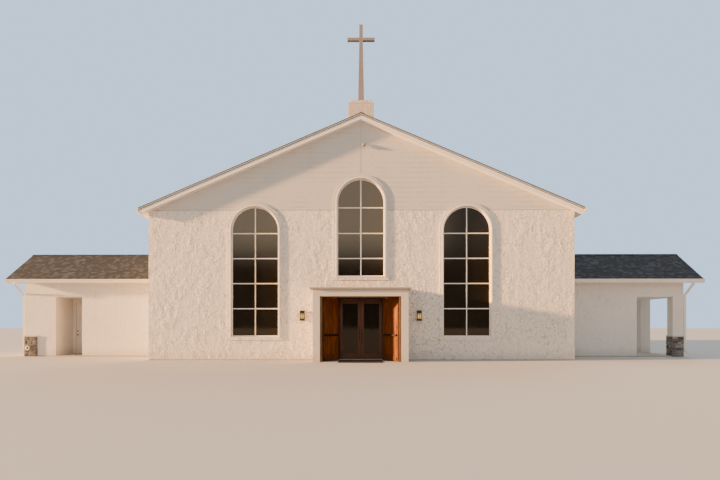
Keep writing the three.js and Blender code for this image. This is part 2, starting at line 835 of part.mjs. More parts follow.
/** One slanted run of pipe whose ends are level rectangles. */
function pipeRun(from, to, width, depth) {
  const [high, low] = from.z > to.z ? [from, to] : [to, from];
  const rectangle = (p) => [p.x - width / 2, p.x + width / 2, p.y - depth / 2, p.y + depth / 2];
  return taperedBlock(rectangle(low), rectangle(high), low.z, high.z);
}

/** The left wing with its alcove, side door and stone-clad corner. */
function addLeftWing() {
  const inner = -NAVE.halfWidth;
  const end = WING.leftEnd;
  const frontInner = WING.front + WING.wall;
  const backInner = WING.back - WING.wall;
  const frontWall = extrudeAlongX(wingWallSection(WING.front, frontInner, SLAB), end, inner);
  const mouth = block(
    [ALCOVE.left, ALCOVE.right],
    [WING.front - 1, frontInner + 1],
    [0, ALCOVE.head],
  );
  addPiece(church, "left_wing_front_wall", cut(frontWall, mouth), "stucco");
  const backWall = extrudeAlongX(wingWallSection(WING.back, backInner, SLAB), end, inner);
  const endWall = extrudeAlongX(wingGableOutline(SLAB, LAP), end, end + WING.wall);
  addPiece(church, "left_wing_outer_wall", join(backWall, endWall), "stucco");
  addAlcove();
  addWingDoor();
  addWingRoof("left_wing_roof", end - WING.rake, inner);
  addWingGutter("left_wing_gutter", end - WING.rake, inner);
  addDownspout("left_wing_downspout", -1, end);
  addCornerCladding();
}

/** The recess behind the left wing's opening: two cheeks, a ceiling and a back with a doorway. */
function addAlcove() {
  const { left, right, head, depth, wall } = ALCOVE;
  const front = WING.front + WING.wall;
  const back = WING.front + depth;
  const shell = block([left - wall, right + wall], [front, back + wall], [SLAB, head + wall]);
  const hollow = block([left, right], [front - 1, back], [SLAB - 1, head]);
  const door = WING_DOOR;
  const doorway = block(
    [door.openingLeft, door.openingRight],
    [back - 1, back + wall + 1],
    [SLAB - 1, door.openingHead],
  );
  const hinges = fixedHinges(
    door.axisX,
    door.axisY,
    HINGE.slimRadius,
    [door.axisX, door.openingRight + 1],
    [door.axisY - HINGE.armThick / 2, door.axisY + HINGE.armThick / 2],
  );
  addPiece(church, "left_alcove", join(cut(shell, hollow, doorway), ...hinges), "stucco");
}

/** The painted side door at the back of the alcove, with its knob and deadbolt. */
function addWingDoor() {
  const door = WING_DOOR;
  const group = leafGroup(door.axisX, door.axisY, 0);
  const inner = -door.innerFace;
  const outer = inner - door.thick;
  const across = fromHinge(1, door.hingeEdge, door.freeEdge);
  const board = block(across, [outer, inner], [door.bottom, door.top]);
  const armY = [inner - 1, HINGE.armThick / 2];
  const hinges = leafHinges(1, HINGE.slimRadius, 2 * HINGE.armThick, armY);
  const knobX = -(door.freeEdge - KNOB.fromFreeEdge);
  const knob = doorKnob(knobX, outer, KNOB.height, KNOB.radius, KNOB.standOff);
  const bolt = doorKnob(knobX, outer, KNOB.deadboltHeight, KNOB.radius, KNOB.standOff / 3);
  addPiece(group, "left_wing_door", join(board, ...hinges, knob, bolt), "paintedDoor");
}

/** A round knob on a door's outer face, turned as one profile about its own axis. */
function doorKnob(x, faceY, z, radius, standOff) {
  const neck = radius * 0.45;
  const profile = [
    [0, -2],
    [radius, -2],
    [radius, 6],
    [neck, 8],
    [neck, standOff * 0.5],
    [radius, standOff * 0.65],
    [radius, standOff * 0.9],
    [0, standOff],
  ];
  const points = profile.map(([r, h]) => new THREE.Vector2(r, h));
  const geometry = new THREE.LatheGeometry(points, ROUND_SIDES);
  geometry.rotateX(Math.PI);
  geometry.translate(x, faceY, z);
  return geometry;
}

/** Stone cladding with a cap at the front left corner of the left wing. */
function addCornerCladding() {
  const left = WING.leftEnd - STONE.cladLap;
  const right = left + STONE.cladWidth;
  const back = WING.front;
  const front = back - STONE.cladThick;
  const capBottom = COLUMN.baseTop - STONE.capHeight;
  const lip = STONE.capProjection;
  const stones = block([left, right], [front, back], [0, capBottom]);
  const cap = block([left, right + lip], [front - lip, back], [capBottom, COLUMN.baseTop]);
  addPiece(church, "left_stone_base", join(stones, cap), "stone");
}

/** The right wing with its open porch bay at the outer end. */
function addRightWing() {
  const inner = NAVE.halfWidth;
  const end = WING.rightEnd;
  const frontInner = WING.front + WING.wall;
  const backInner = WING.back - WING.wall;
  const mouthX = [PORCH.left, end + 1];
  const frontWall = extrudeAlongX(wingWallSection(WING.front, frontInner, SLAB), inner, end);
  const frontMouth = block(mouthX, [WING.front - 1, frontInner + 1], [0, PORCH.head]);
  addPiece(church, "right_wing_front_wall", cut(frontWall, frontMouth), "stucco");
  const backWall = extrudeAlongX(wingWallSection(WING.back, backInner, SLAB), inner, end);
  const backMouth = block(mouthX, [backInner - 1, WING.back + 1], [0, PORCH.head]);
  addPiece(church, "right_wing_back_wall", cut(backWall, backMouth), "stucco");
  const wallX = [PORCH.left - PORCH.wall, PORCH.left];
  const innerWall = extrudeAlongX(wingGableOutline(SLAB), ...wallX);
  const gable = extrudeAlongX(wingGableOutline(PORCH.head), end - WING.wall, end);
  addPiece(church, "right_wing_gable", gable, "stucco");
  const ceiling = block(
    [PORCH.left - LAP, end - WING.wall],
    [frontInner, backInner],
    [PORCH.head, PORCH.head + PORCH.ceiling],
  );
  addPiece(church, "porch_lining", join(innerWall, ceiling), "stucco");
  addFrontPorchColumn();
  const rearColumn = block(
    [end - COLUMN.width, end],
    [WING.back - COLUMN.width, WING.back],
    [SLAB, PORCH.head],
  );
  addPiece(church, "porch_column_rear", rearColumn, "stucco");
  addWingRoof("right_wing_roof", inner, end + WING.rake);
  addWingGutter("right_wing_gutter", inner, end + WING.rake);
  addDownspout("right_wing_downspout", 1, end);
}

/** The front porch column, square, on its stone-clad base. */
function addFrontPorchColumn() {
  const x0 = WING.rightEnd - COLUMN.width;
  const x1 = WING.rightEnd;
  const y0 = WING.front;
  const y1 = WING.front + COLUMN.width;
  const shaft = block([x0, x1], [y0, y1], [COLUMN.baseTop, PORCH.head]);
  addPiece(church, "porch_column_front", shaft, "stucco");
  const grow = STONE.projection;
  const capGrow = grow + STONE.capProjection;
  const capBottom = COLUMN.baseTop - STONE.capHeight;
  const stones = block([x0 - grow, x1], [y0 - grow, y1 + grow], [0, capBottom]);
  const cap = block(
    [x0 - capGrow, x1],
    [y0 - capGrow, y1 + capGrow],
    [capBottom, COLUMN.baseTop],
  );
  addPiece(church, "porch_base_front", join(stones, cap), "stone");
}

// The whole building

addFloorSlab();
addFrontWallSide("front_wall_left", -1);
addFrontWallSide("front_wall_right", 1);
addFrontWallCenter();
addRearWall();
addNaveSideWall("left", -1);
addNaveSideWall("right", 1);
addNaveRoofSlope("left", -1);
addNaveRoofSlope("right", 1);
addBargeboard("front_bargeboard", NAVE.front - NAVE_ROOF.rake, 1);
addBargeboard("rear_bargeboard", NAVE.rear + NAVE_ROOF.rake, -1);
addNaveGutter("left", -1);
addNaveGutter("right", 1);
addFrontWindow("left", -SIDE_WINDOW_X, FRONT_WINDOW);
addFrontWindow("center", 0, CENTER_WINDOW);
addFrontWindow("right", SIDE_WINDOW_X, FRONT_WINDOW);
addPedestal();
addCross();
addPortal();
addEntryFrame();
addEntryMat();
for (const [suffix, side] of [["left", -1], ["right", 1]]) {
  addWoodDoor(suffix, side);
  addGlassDoor(suffix, side);
  addLantern(suffix, side);
}
addLeftWing();
addRightWing();

export default church;
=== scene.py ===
"""Looks of a church building: a gabled nave with a portal, two low wings and a ridge cross.

Metres, +Z up. The front faces -Y and the origin is at ground level in the middle of the doorway,
as in the frame that this script dresses.
"""

from __future__ import annotations

import logging
import math
from dataclasses import dataclass
from enum import Enum
from functools import cache
from typing import Iterable, Sequence

import bmesh
import bpy
import numpy as np
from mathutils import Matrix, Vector


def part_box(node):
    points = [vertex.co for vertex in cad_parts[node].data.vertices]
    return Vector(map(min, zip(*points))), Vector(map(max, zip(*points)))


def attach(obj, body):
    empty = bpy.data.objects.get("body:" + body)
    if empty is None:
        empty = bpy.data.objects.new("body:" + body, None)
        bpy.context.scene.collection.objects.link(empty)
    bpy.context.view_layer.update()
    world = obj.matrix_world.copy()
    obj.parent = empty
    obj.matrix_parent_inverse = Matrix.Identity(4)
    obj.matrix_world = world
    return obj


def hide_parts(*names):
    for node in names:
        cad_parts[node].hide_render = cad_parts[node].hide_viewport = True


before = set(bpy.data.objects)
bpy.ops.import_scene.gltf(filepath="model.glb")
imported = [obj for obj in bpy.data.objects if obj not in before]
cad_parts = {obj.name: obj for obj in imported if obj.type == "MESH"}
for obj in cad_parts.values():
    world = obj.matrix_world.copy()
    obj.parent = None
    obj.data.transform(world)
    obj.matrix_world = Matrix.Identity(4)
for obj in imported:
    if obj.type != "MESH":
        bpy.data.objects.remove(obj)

LOG = logging.getLogger("church")
SEED = 20
BUILDING = "building"
NO_CHANGE = 99.0  # a height above the whole building, for finishes that stay the same all the way up

Triple = tuple[float, float, float]
Pair = tuple[float, float]
Socket = bpy.types.NodeSocket


# Wiring of shader nodes


class Wiring:
    """Short names for making and linking the nodes of one shader tree."""

    def __init__(self, tree: bpy.types.NodeTree) -> None:
        """Keeps the tree that the nodes go into."""
        self.tree = tree

    def node(self, kind: str, **settings: object) -> bpy.types.Node:
        """Makes a node of a kind and sets its plain properties."""
        made = self.tree.nodes.new(kind)
        for name, value in settings.items():
            setattr(made, name, value)
        return made

    def feed(self, socket: Socket, value: object) -> None:
        """Links a socket to another socket, or sets its own value."""
        if isinstance(value, Socket):
            self.tree.links.new(value, socket)
        else:
            color = isinstance(value, tuple) and len(value) == 3 and socket.type == "RGBA"
            socket.default_value = (*value, 1.0) if color else value

    def wire(self, kind: str, output: object, feeds: dict, **settings: object) -> Socket:
        """Makes a node and feeds it.

        Args:
            kind: Blender's name for the node type.
            output: Name or number of the output.
            feeds: What feeds each input, by its name or number.
            **settings: Property names and their values.

        Returns:
            The output.
        """
        made = self.node(kind, **settings)
        for name, value in feeds.items():
            self.feed(made.inputs[name], value)
        return made.outputs[output]

    def math(self, operation: str, first: object, second: object) -> Socket:
        """Works out one number from two."""
        return self.wire("ShaderNodeMath", 0, {0: first, 1: second}, operation=operation)

    def times(self, first: object, second: object) -> Socket:
        """Product of two numbers."""
        return self.math("MULTIPLY", first, second)

    def plus(self, first: object, second: object) -> Socket:
        """Sum of two numbers."""
        return self.math("ADD", first, second)

    def minus(self, first: object, second: object) -> Socket:
        """Difference of two numbers."""
        return self.math("SUBTRACT", first, second)

    def split(self, vector: Socket) -> list[Socket]:
        """The X, Y and Z of a vector."""
        made = self.node("ShaderNodeSeparateXYZ")
        self.feed(made.inputs[0], vector)
        return list(made.outputs)

    def stretch(self, vector: object, scale: Triple) -> Socket:
        """Scales coordinates."""
        return self.wire("ShaderNodeMapping", "Vector", {"Vector": vector, "Scale": scale})

    def noise(self, vector: object, scale: object, detail: float = 4.0, rough: float = 0.5) -> Socket:
        """Smooth noise between 0 and 1."""
        feeds = {"Vector": vector, "Scale": scale, "Detail": detail, "Roughness": rough}
        return self.wire("ShaderNodeTexNoise", "Fac", feeds)

    def cells(self, vector: object, scale: object) -> Socket:
        """Distance field of scattered points, for grains and pits."""
        return self.wire("ShaderNodeTexVoronoi", "Distance", {"Vector": vector, "Scale": scale})

    def window(self, value: object, low: object, high: object) -> Socket:
        """Maps a value's range low..high to 0..1 with soft ends."""
        feeds = {"Value": value, "From Min": low, "From Max": high}
        return self.wire("ShaderNodeMapRange", "Result", feeds, interpolation_type="SMOOTHSTEP")

    def step(self, value: object, edge: float, soft: float) -> Socket:
        """Rises from 0 to 1 round an edge, over twice the softness."""
        return self.window(value, edge - soft, edge + soft)

    def span(self, value: object, low: object, high: object) -> Socket:
        """Maps a value's range 0..1 to low..high."""
        return self.wire("ShaderNodeMapRange", "Result", {"Value": value, "To Min": low, "To Max": high})

    def blend(self, factor: object, first: object, second: object, mode: str = "MIX") -> Socket:
        """Mixes two colours."""
        feeds = {0: factor, 6: first, 7: second}
        return self.wire("ShaderNodeMix", 2, feeds, data_type="RGBA", blend_type=mode)

    def bump(self, height: object, strength: float, depth: float) -> Socket:
        """Normal of a relief whose height of about 0..1 stands for a depth in metres."""
        feeds = {"Strength": strength, "Distance": depth, "Height": height}
        return self.wire("ShaderNodeBump", "Normal", feeds)

    def tone(self) -> Socket:
        """Reads the value that each board, tab or stone of a piece carries."""
        return self.node("ShaderNodeAttribute", attribute_name="tone").outputs["Fac"]

    def group(self, tree: bpy.types.NodeTree, **values: object) -> bpy.types.NodeOutputs:
        """Places a node group, feeds its named inputs and returns its outputs."""
        made = self.node("ShaderNodeGroup", node_tree=tree)
        for name, value in values.items():
            self.feed(made.inputs[name], value)
        return made.outputs


# Effects that several finishes share


class Effect(Wiring):
    """A shader node group with named sockets."""

    def __init__(self, name: str, inputs: dict[str, object], outputs: dict[str, str]) -> None:
        """Makes the group and keeps the sockets of its inputs.

        Args:
            name: The group's name.
            inputs: Socket names and their default values. None makes a vector socket.
            outputs: Socket names, each with Float or Color.
        """
        super().__init__(bpy.data.node_groups.new(name, "ShaderNodeTree"))
        interface = self.tree.interface
        for label, value in inputs.items():
            kind = "Vector" if value is None else "Color" if isinstance(value, tuple) else "Float"
            socket = interface.new_socket(label, in_out="INPUT", socket_type=f"NodeSocket{kind}")
            if value is not None:
                socket.default_value = (*value, 1.0) if kind == "Color" else value
        for label, kind in outputs.items():
            interface.new_socket(label, in_out="OUTPUT", socket_type=f"NodeSocket{kind}")
        self.given = list(self.node("NodeGroupInput").outputs)[: len(inputs)]
        self.end = self.node("NodeGroupOutput")

    def give(self, **values: object) -> bpy.types.NodeTree:
        """Feeds the group's outputs by name and returns its tree."""
        for label, value in values.items():
            self.feed(self.end.inputs[label], value)
        return self.tree


class Effects:
    """Node groups for weathering, relief and grain, each built once."""

    @staticmethod
    @cache
    def cloudy() -> bpy.types.NodeTree:
        """Two tones that drift into each other over large soft patches."""
        w = Effect(
            "cloudy_tone",
            {"Vector": None, "Light": (0.8, 0.8, 0.8), "Dark": (0.6, 0.6, 0.6), "Scale": 0.6},
            {"Color": "Color", "Mask": "Float"},
        )
        vector, light, dark, scale = w.given
        broad = w.noise(vector, scale, 3.0, 0.55)
        fine = w.noise(vector, w.times(scale, 9.0), 4.0)
        mask = w.window(w.plus(w.times(broad, 0.65), w.times(fine, 0.35)), 0.36, 0.64)
        return w.give(Mask=mask, Color=w.blend(mask, light, dark))

    @staticmethod
    @cache
    def rain_marks() -> bpy.types.NodeTree:
        """Faint streaks that run down a wall, and splash soiling just above the ground."""
        w = Effect(
            "rain_marks",
            {"Vector": None, "Color": (0.8, 0.8, 0.8), "Dirt": (0.4, 0.35, 0.3), "Amount": 0.3},
            {"Color": "Color", "Mask": "Float"},
        )
        vector, color, dirt, amount = w.given
        tall = w.stretch(vector, (3.2, 3.2, 0.16))
        streak = w.window(w.noise(tall, 1.6, 5.0, 0.6), 0.54, 0.80)
        ragged = w.times(w.noise(vector, 5.0, 4.0), 0.35)
        low = w.window(w.minus(w.plus(0.30, ragged), w.split(vector)[2]), 0.0, 0.45)
        mask = w.times(w.math("MAXIMUM", w.times(streak, 0.7), low), amount)
        return w.give(Mask=mask, Color=w.blend(mask, color, dirt))

    @staticmethod
    @cache
    def trowel() -> bpy.types.NodeTree:
        """Relief of hand-trowelled render: broad flat drags with sparse upright pits between them."""
        w = Effect(
            "trowel_relief",
            {"Vector": None, "Scale": 6.0, "Sand": 0.06},
            {"Height": "Float", "Pit": "Float"},
        )
        vector, scale, sand = w.given
        warp = w.wire("ShaderNodeTexNoise", "Color", {"Vector": vector, "Scale": w.times(scale, 0.7)})
        feeds = {0: warp, 1: (0.10, 0.10, 0.10), 2: vector}
        bent = w.wire("ShaderNodeVectorMath", 0, feeds, operation="MULTIPLY_ADD")
        upright = w.stretch(bent, (1.0, 1.0, 0.80))
        large = w.window(w.noise(upright, w.times(scale, 0.8), 2.0, 0.5), 0.36, 0.66)
        pit = w.window(w.noise(upright, w.times(scale, 3.0), 3.0, 0.6), 0.575, 0.635)
        grains = w.noise(vector, w.times(scale, 36.0), 3.0, 0.7)
        body = w.minus(w.times(large, 0.28), w.times(pit, 0.72))
        return w.give(Height=w.plus(body, w.times(grains, sand)), Pit=pit)

    @staticmethod
    @cache
    def grit() -> bpy.types.NodeTree:
        """Fine grains and pits, as on mineral granules, concrete and split stone."""
        outputs = {"Height": "Float", "Speck": "Float"}
        w = Effect("fine_grit", {"Vector": None, "Scale": 90.0}, outputs)
        vector, scale = w.given
        grain = w.cells(vector, scale)
        cloud = w.noise(vector, w.times(scale, 0.4), 4.0, 0.65)
        return w.give(Height=w.plus(w.times(grain, 0.5), cloud), Speck=w.window(cloud, 0.45, 0.72))

    @staticmethod
    @cache
    def timber() -> bpy.types.NodeTree:
        """Straight grain that runs up a board: growth bands, fine fibres and pores."""
        colors = {"Light": (0.4, 0.18, 0.06), "Dark": (0.15, 0.05, 0.02)}
        w = Effect(
            "timber_grain",
            {"Vector": None, "Board": 0.5, **colors, "Fibre": 60.0},
            {"Color": "Color", "Height": "Float", "Band": "Float"},
        )
        vector, board, light, dark, fibres = w.given
        shift = w.wire("ShaderNodeCombineXYZ", 0, {"X": w.times(board, 17.0), "Z": w.times(board, 5.0)})
        moved = w.wire("ShaderNodeVectorMath", 0, {0: vector, 1: shift}, operation="ADD")
        band = w.noise(w.stretch(moved, (1.0, 1.0, 0.09)), 14.0, 3.0, 0.5)
        fibre = w.noise(w.stretch(moved, (1.0, 1.0, 0.03)), fibres, 5.0, 0.7)
        pore = w.window(w.noise(w.stretch(moved, (1.0, 1.0, 0.05)), 240.0, 2.0), 0.60, 0.72)
        mask = w.window(w.plus(w.times(band, 0.6), w.times(fibre, 0.4)), 0.34, 0.66)
        tone = w.blend(w.times(pore, 0.5), w.blend(mask, light, dark), dark)
        feeds = {0: tone, "Scale": w.span(board, 0.72, 1.22)}
        lit = w.wire("ShaderNodeVectorMath", 0, feeds, operation="SCALE")
        return w.give(Color=lit, Height=w.minus(fibre, w.times(pore, 0.6)), Band=mask)


# Finishes


@dataclass(frozen=True)
class Finish:
    """A surface finish: its name and the plain values that its shader keeps."""

    name: str
    color: Triple
    roughness: float = 0.6
    metallic: float = 0.0

    @cache
    def material(self) -> bpy.types.Material:
        """Returns the finish's material, made on first use."""
        made = bpy.data.materials.new(self.name)
        made.use_nodes = True
        made.node_tree.nodes.clear()
        w = Wiring(made.node_tree)
        shader = w.node("ShaderNodeBsdfPrincipled")
        w.feed(w.node("ShaderNodeOutputMaterial").inputs["Surface"], shader.outputs["BSDF"])
        plain = {"Base Color": self.color, "Roughness": self.roughness, "Metallic": self.metallic}
        dressed = self.dress(w, w.node("ShaderNodeTexCoord").outputs["Object"])
        for name, value in [*plain.items(), *dressed.items()]:
            w.feed(shader.inputs[name], value)
        return made

    def dress(self, w: Wiring, place: Socket) -> dict[str, object]:
        """Wires the finish's pattern and returns what feeds the shader's inputs."""
        return {}

    def cloud(self, w: Wiring, place: Socket, dark: Triple, scale: float) -> bpy.types.NodeOutputs:
        """Lets the finish's colour drift into a darker one."""
        return w.group(Effects.cloudy(), Vector=place, Light=self.color, Dark=dark, Scale=scale)

    def sheen(self, w: Wiring, mask: Socket, less: float, more: float) -> Socket:
        """Roughness that runs from a little less to a little more than the finish's own."""
        return w.span(mask, self.roughness - less, self.roughness + more)

    def scaled(self, factor: float) -> Triple:
        """The finish's colour times a factor."""
        return tuple(value * factor for value in self.color)


@dataclass(frozen=True)
class RenderFinish(Finish):
    """Hand-trowelled render on walls, painted off-white, and smooth over blockwork higher up."""

    shade: Triple = (0.70, 0.65, 0.59)
    # dirt colours the rain marks and the course lines, and also the painted shade in the trowel's pits.
    dirt: Triple = (0.42, 0.37, 0.31)
    scale: float = 5.8
    depth: float = 0.044
    soiling: float = 0.30
    # How far the trowel's pits darken in colour: painted shade in the hollows.
    pit_shade: float = 0.14
    smooth_above: float = NO_CHANGE
    upper: Triple = (0.60, 0.592, 0.575)
    course: float = 0.20
    # Colour above the cap height: a darker grey-brown that is painted shade on the portal's cornice.
    cap: Triple = (0.36, 0.32, 0.28)
    cap_shade_above: float = NO_CHANGE

    def dress(self, w: Wiring, place: Socket) -> dict[str, object]:
        """Drifting tone, painted shade in the trowel's pits, rain marks, trowel relief and the faint
        courses of the smooth part.
        """
        up = w.split(place)[2]
        smooth = w.step(up, self.smooth_above, 0.02)
        tone = self.cloud(w, place, self.shade, 0.45)
        trowel = w.group(Effects.trowel(), Vector=place, Scale=self.scale)
        # Painted shade: the colour darkens towards dirt in the trowel's pits, much less on the smooth part.
        pit = w.times(trowel["Pit"], w.span(smooth, self.pit_shade, 0.03))
        warm = w.blend(pit, w.blend(0.18, self.color, tone["Color"]), self.dirt)
        line = w.window(w.math("PINGPONG", up, self.course / 2), 0.016, 0.0)
        patch = w.window(w.noise(place, 0.8, 3.0), 0.40, 0.60)
        seam = w.times(w.times(line, patch), smooth)
        coursed = w.blend(w.times(seam, 0.60), w.blend(smooth, warm, self.upper), self.dirt)
        # Painted shade: above the cap height the colour turns to the darker cap.
        with_cap_shade = w.blend(w.step(up, self.cap_shade_above, 0.003), coursed, self.cap)
        marks = {"Color": with_cap_shade, "Dirt": self.dirt, "Amount": self.soiling}
        worked = w.span(w.window(w.noise(place, 1.1, 4.0, 0.6), 0.36, 0.64), 0.40, 1.15)
        relief = w.times(trowel["Height"], w.times(worked, w.span(smooth, 1.0, 0.14)))
        return {
            "Base Color": w.group(Effects.rain_marks(), Vector=place, **marks)["Color"],
            "Roughness": w.span(trowel["Pit"], 0.82, 0.94),
            "Normal": w.bump(w.minus(relief, w.times(seam, 0.12)), 1.0, self.depth),
        }


@dataclass(frozen=True)
class PaintFinish(Finish):
    """Brushed or baked paint with faint soiling."""

    dirt: Triple = (0.45, 0.42, 0.37)
    soiling: float = 0.25
    depth: float = 0.0006

    def dress(self, w: Wiring, place: Socket) -> dict[str, object]:
        """Slight tone drift, soiling in streaks and an orange-peel relief."""
        tone = self.cloud(w, place, self.scaled(0.93), 1.7)
        marks = {"Color": tone["Color"], "Dirt": self.dirt, "Amount": self.soiling}
        return {
            "Base Color": w.group(Effects.rain_marks(), Vector=place, **marks)["Color"],
            "Roughness": self.sheen(w, tone["Mask"], 0.06, 0.08),
            "Normal": w.bump(w.noise(place, 160.0, 3.0), 0.5, self.depth),
        }


@dataclass(frozen=True)
class ShingleFinish(Finish):
    """Mineral-faced roof shingles, each tab with its own mix of granules."""

    warm: Triple = (0.029, 0.031, 0.037)
    pale: Triple = (0.062, 0.078, 0.104)

    def dress(self, w: Wiring, place: Socket) -> dict[str, object]:
        """Tab tones from the piece, granule specks and a gritty relief."""
        grit = w.group(Effects.grit(), Vector=place, Scale=140.0)
        base = w.blend(w.window(w.tone(), 0.45, 1.0), self.color, self.pale)
        brown = w.window(w.noise(place, 1.7, 5.0, 0.75), 0.46, 0.66)
        drift = w.blend(w.times(brown, 0.6), base, self.warm)
        return {
            "Base Color": w.blend(w.times(grit["Speck"], 0.45), drift, self.pale),
            "Normal": w.bump(grit["Height"], 0.9, 0.003),
        }


@dataclass(frozen=True)
class TimberFinish(Finish):
    """Stained and varnished boards with upright grain."""

    dark: Triple = (0.10, 0.03, 0.01)

    def dress(self, w: Wiring, place: Socket) -> dict[str, object]:
        """Grain by board, with a satin coat that dulls along the growth bands."""
        feeds = {"Board": w.tone(), "Light": self.color, "Dark": self.dark}
        grain = w.group(Effects.timber(), Vector=place, **feeds)
        return {
            "Base Color": grain["Color"],
            "Roughness": self.sheen(w, grain["Band"], 0.08, 0.12),
            "Specular IOR Level": 0.18,
            "Coat Weight": 0.02,
            "Coat Roughness": 0.30,
            "Normal": w.bump(grain["Height"], 0.5, 0.0012),
        }


@dataclass(frozen=True)
class MetalFinish(Finish):
    """Anodised or powder-coated metal with handling marks."""

    worn: Triple = (0.10, 0.08, 0.06)

    def dress(self, w: Wiring, place: Socket) -> dict[str, object]:
        """Tone drift, rubbed patches and a fine grain."""
        mask = self.cloud(w, place, self.worn, 3.5)["Mask"]
        return {
            "Base Color": w.blend(w.times(mask, 0.35), self.color, self.worn),
            "Roughness": self.sheen(w, mask, 0.08, 0.12),
            "Normal": w.bump(w.noise(place, 260.0, 2.0), 0.35, 0.0005),
        }


@dataclass(frozen=True)
class GlassFinish(Finish):
    """Dark tinted glass with a slight waviness."""

    transmission: float = 0.30
    gloss: Triple = (1.0, 0.88, 0.74)
    index: float = 1.5

    def dress(self, w: Wiring, place: Socket) -> dict[str, object]:
        """Waviness in the reflections and a thin film of dust."""
        dust = w.window(w.noise(place, 1.3, 5.0, 0.65), 0.35, 0.85)
        film = tuple(min(1.0, value * 1.8 + 0.004) for value in self.color)
        return {
            "Transmission Weight": self.transmission,
            "IOR": self.index,
            "Specular Tint": self.gloss,
            "Roughness": self.sheen(w, dust, 0.0, 0.05),
            "Base Color": w.blend(w.times(dust, 0.5), self.color, film),
            "Normal": w.bump(w.noise(place, 1.1, 2.0), 0.22, 0.004),
        }


@dataclass(frozen=True)
class StoneFinish(Finish):
    """Split stone veneer in tan, pink and grey, one tone a stone."""

    tan: Triple = (0.20, 0.185, 0.175)
    pink: Triple = (0.17, 0.140, 0.135)
    pale: Triple = (0.42, 0.405, 0.39)

    def dress(self, w: Wiring, place: Socket) -> dict[str, object]:
        """Stone tones from the piece, veins, specks and a rough split face."""
        tone = w.tone()
        first = w.blend(w.window(tone, 0.15, 0.45), self.color, self.tan)
        second = w.blend(w.window(tone, 0.45, 0.70), first, self.pink)
        third = w.blend(w.window(tone, 0.70, 1.0), second, self.pale)
        grit = w.group(Effects.grit(), Vector=place, Scale=70.0)
        vein = w.window(w.noise(w.stretch(place, (1.0, 1.0, 3.0)), 9.0, 5.0, 0.6), 0.40, 0.70)
        veined = w.blend(w.times(vein, 0.45), third, self.scaled(0.55))
        return {
            "Base Color": w.blend(grit["Speck"], veined, self.pale, "SOFT_LIGHT"),
            "Normal": w.bump(grit["Height"], 0.9, 0.008),
        }


@dataclass(frozen=True)
class ConcreteFinish(Finish):
    """Trowelled concrete or mortar, with pale cast caps above a height."""

    shade: Triple = (0.34, 0.31, 0.28)
    cast: Triple = (0.62, 0.57, 0.51)
    cast_above: float = NO_CHANGE

    def dress(self, w: Wiring, place: Socket) -> dict[str, object]:
        """Cloudy tone with fine pits."""
        tone = self.cloud(w, place, self.shade, 1.1)
        grit = w.group(Effects.grit(), Vector=place, Scale=110.0)
        mixed = w.blend(w.times(grit["Speck"], 0.3), tone["Color"], self.shade)
        return {
            "Base Color": w.blend(w.step(w.split(place)[2], self.cast_above, 0.003), mixed, self.cast),
            "Normal": w.bump(grit["Height"], 0.6, 0.002),
        }


@dataclass(frozen=True)
class RubberFinish(Finish):
    """Matt black rubber, a little dusty."""

    dust: Triple = (0.07, 0.065, 0.06)

    def dress(self, w: Wiring, place: Socket) -> dict[str, object]:
        """Dust film over a fine pebble relief."""
        film = w.window(w.noise(place, 6.0, 5.0, 0.65), 0.45, 0.80)
        return {
            "Base Color": w.blend(w.times(film, 0.6), self.color, self.dust),
            "Normal": w.bump(w.cells(place, 240.0), 0.5, 0.0008),
        }


@dataclass(frozen=True)
class LampFinish(Finish):
    """Frosted lamp glass lit from inside, brightest where the piece says that the bulb is."""

    core: Triple = (1.0, 0.64, 0.17)
    edge: Triple = (0.14, 0.050, 0.008)
    strength: float = 1.5

    def dress(self, w: Wiring, place: Socket) -> dict[str, object]:
        """A warm glow that falls off from the bulb, with faint seeds in the glass."""
        seeds = w.window(w.cells(place, 60.0), 0.0, 0.5)
        glow = w.times(w.tone(), w.span(seeds, 0.8, 1.0))
        return {
            "Emission Strength": self.strength,
            "Emission Color": w.blend(glow, self.edge, self.core),
        }


